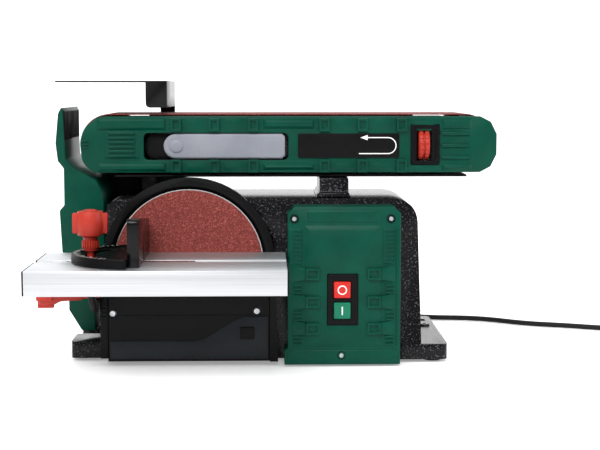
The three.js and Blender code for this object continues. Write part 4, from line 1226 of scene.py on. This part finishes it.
door_low, door_high = extent("guard_cover")
door = rounded(door_low.x, door_high.x, door_low.z, door_high.z, 3)
front = door_low.y
prism_piece("guard_cover_door", [(door, door_high.y, front + 0.7), (door, front + 0.7, front, 0.7)],
            BLACK_ABS, "base", 0.3, ("guard_cover",))
prism_piece("guard_cover_relief", [(guard_relief_outline(door_low, door_high), front + 0.2, front - 0.8)],
            DARK_SLATE_ABS, "base", 0.35)
joint_line = oblong(door_low.x + 1.2, door_high.x - 1.2, 50.9, 51.8)
prism_piece("guard_cover_joint", [(joint_line, front - 0.5, front + 0.2),
                                  (rounded(51, 66, 27, 40, 1.5), front - 0.6, front - 1.5, 0.6)],
            BLACK_ABS, "base", 0.25)
ribs("guard_ear_ridges", [(-84.6, -8.0, 50.0)], 6, (0, 0, 4.0), (5.6, 1.4, 1.8), BLACK_ABS, "base", 0.4)
screws("guard_screw_heads", [(-75.8, -8.2, 53.9), (68.1, -8.2, 55.9)], 3.8, 1.9, "front", "base",
       ("guard_screw_left", "guard_screw_right"))

# %% [markdown]
# ** Dust hood.** Inside its mouth on the belt's side stand a black plate and a row of ribs drawn black: painted
# shade inside the mouth. A hose socket sits round the extraction hole in the back plate.

# %% Hood details
HOSE_SOCKET = (-112, 140)


def hood_mouth_painted_shade():
    bm = bmesh.new()
    # A black plate on the inner face of the green hood wall: painted shade inside the mouth.
    add_block(bm, -128.9, -127.7, 39, 147, 224, 255.5)
    return make_piece("hood_mouth_painted_shade_plate", bm, BLACK_ABS, "base", 0.3)


def hose_collar():
    back = extent("hood_back")[1].y
    bm = bmesh.new()
    rings = [(back - 0.2, 20.5), (back + 2.4, 20.5), (back + 2.9, 20.0), (back + 2.9, 18.2),
             (back - 0.2, 17.6)]
    add_loft(bm, "y", [(y, arc(*HOSE_SOCKET, r, 0, 352.5, 47)) for y, r in rings], capped=False)
    return make_piece("hose_socket_collar", bm, BLACK_ABS, "base")


hood_mouth_painted_shade()
hose_collar()
# The mouth's ribs are drawn in black: painted shade inside the mouth.
ribs("hood_mouth_ribs_painted_shade", [(-127.4, 43, 239.8)], 12, (0, 9, 0), (1.0, 1.6, 29), BLACK_ABS, "base", 0.3)
screws("hood_back_screws", [(x, 152.1, z) for x, z in ((-121, 70), (-97, 70), (-121, 170), (-97, 170))],
       2.6, 1.5, "back", "base")
screws("drive_cover_screws", [(x, 178.1, z) for x, z in ((0, 70), (-30, 118), (-82.2, 241), (-62, 205))],
       2.8, 1.6, "back", "base")
ribs("drive_cover_vents", [(0, 178.4, 84)], 6, (0, 0, 6.0), (34, 1.4, 2.2), BLACK_ABS, "base", 0.4)

# %% [markdown]
# **Table and mitre gauge.** The gauge's head carries a generic scale of ticks every five degrees.

# %% Table and gauge details
MITRE_PIVOT = (-45.0, -69.0)
SCALE_RADIUS = 60.0


def scale_ticks():
    top = extent("mitre_head")[1].z
    bm = bmesh.new()
    for angle in range(115, 246, 5):
        length = 6.5 if angle % 15 == 0 else 4.0
        path = [(MITRE_PIVOT[0] + r * cos(radians(angle)), MITRE_PIVOT[1] + r * sin(radians(angle)))
                for r in (SCALE_RADIUS - length, SCALE_RADIUS)]
        stroke(bm, path, 0.5, top - 0.05, top + 0.08, "z")
    return make_piece("mitre_scale_ticks", bm, WHITE_INK, "mitre_head")


scale_ticks()

# %% [markdown]
# **Mitre knob.** The clamp knobs are moulded stars. On the mitre gauge's, a domed cap closes the hub and
# short ridges stand round the collar.

# %% Knob details
MITRE_KNOB = (-88.8, -69.0)
knob_top = extent("mitre_knob")[1].z
cap_profile = [(7.0, knob_top - 0.4), (6.6, knob_top + 0.9), (4.8, knob_top + 1.7), (0.4, knob_top + 2.0)]
turned_piece("mitre_knob_cap", cap_profile, MITRE_KNOB, RED_POLYAMIDE, "mitre_knob", 0.2)
teeth("mitre_collar_ridges", (*MITRE_KNOB, 131.0), 20, 7.6, (1.4, 1.3, 7.0), (0, 0, 0), RED_POLYAMIDE,
      "mitre_knob", 0.3)

# %% [markdown]
# **Foot flange.** The right flange carries a slot for a bench bolt and a small cast boss beside it.

# %% Flange boss
boss_profile = [(6.0, 18.2), (5.6, 20.4), (4.9, 21.0), (2.2, 21.0), (2.0, 19.0)]
turned_piece("flange_boss", boss_profile, (251, 112), HAMMERED, "base", 0.3)

# %% [markdown]
# **Throat plate.** A black plate closes the gap between the hood and the casting behind the belt.

# %% Throat plate
throat_outline = [(-104, 150), (-60, 150), (-60, 178), (-84, 192), (-104, 192)]
prism_piece("throat_plate", [(throat_outline, 148.1, 149.0)], BLACK_ABS, "base", 0.2)
print("pieces:", len(PIECES))


# %% [markdown]
# The visual model has to stay inside the CAD model's box.

# %% Count of pieces
print("pieces:", len(PIECES))
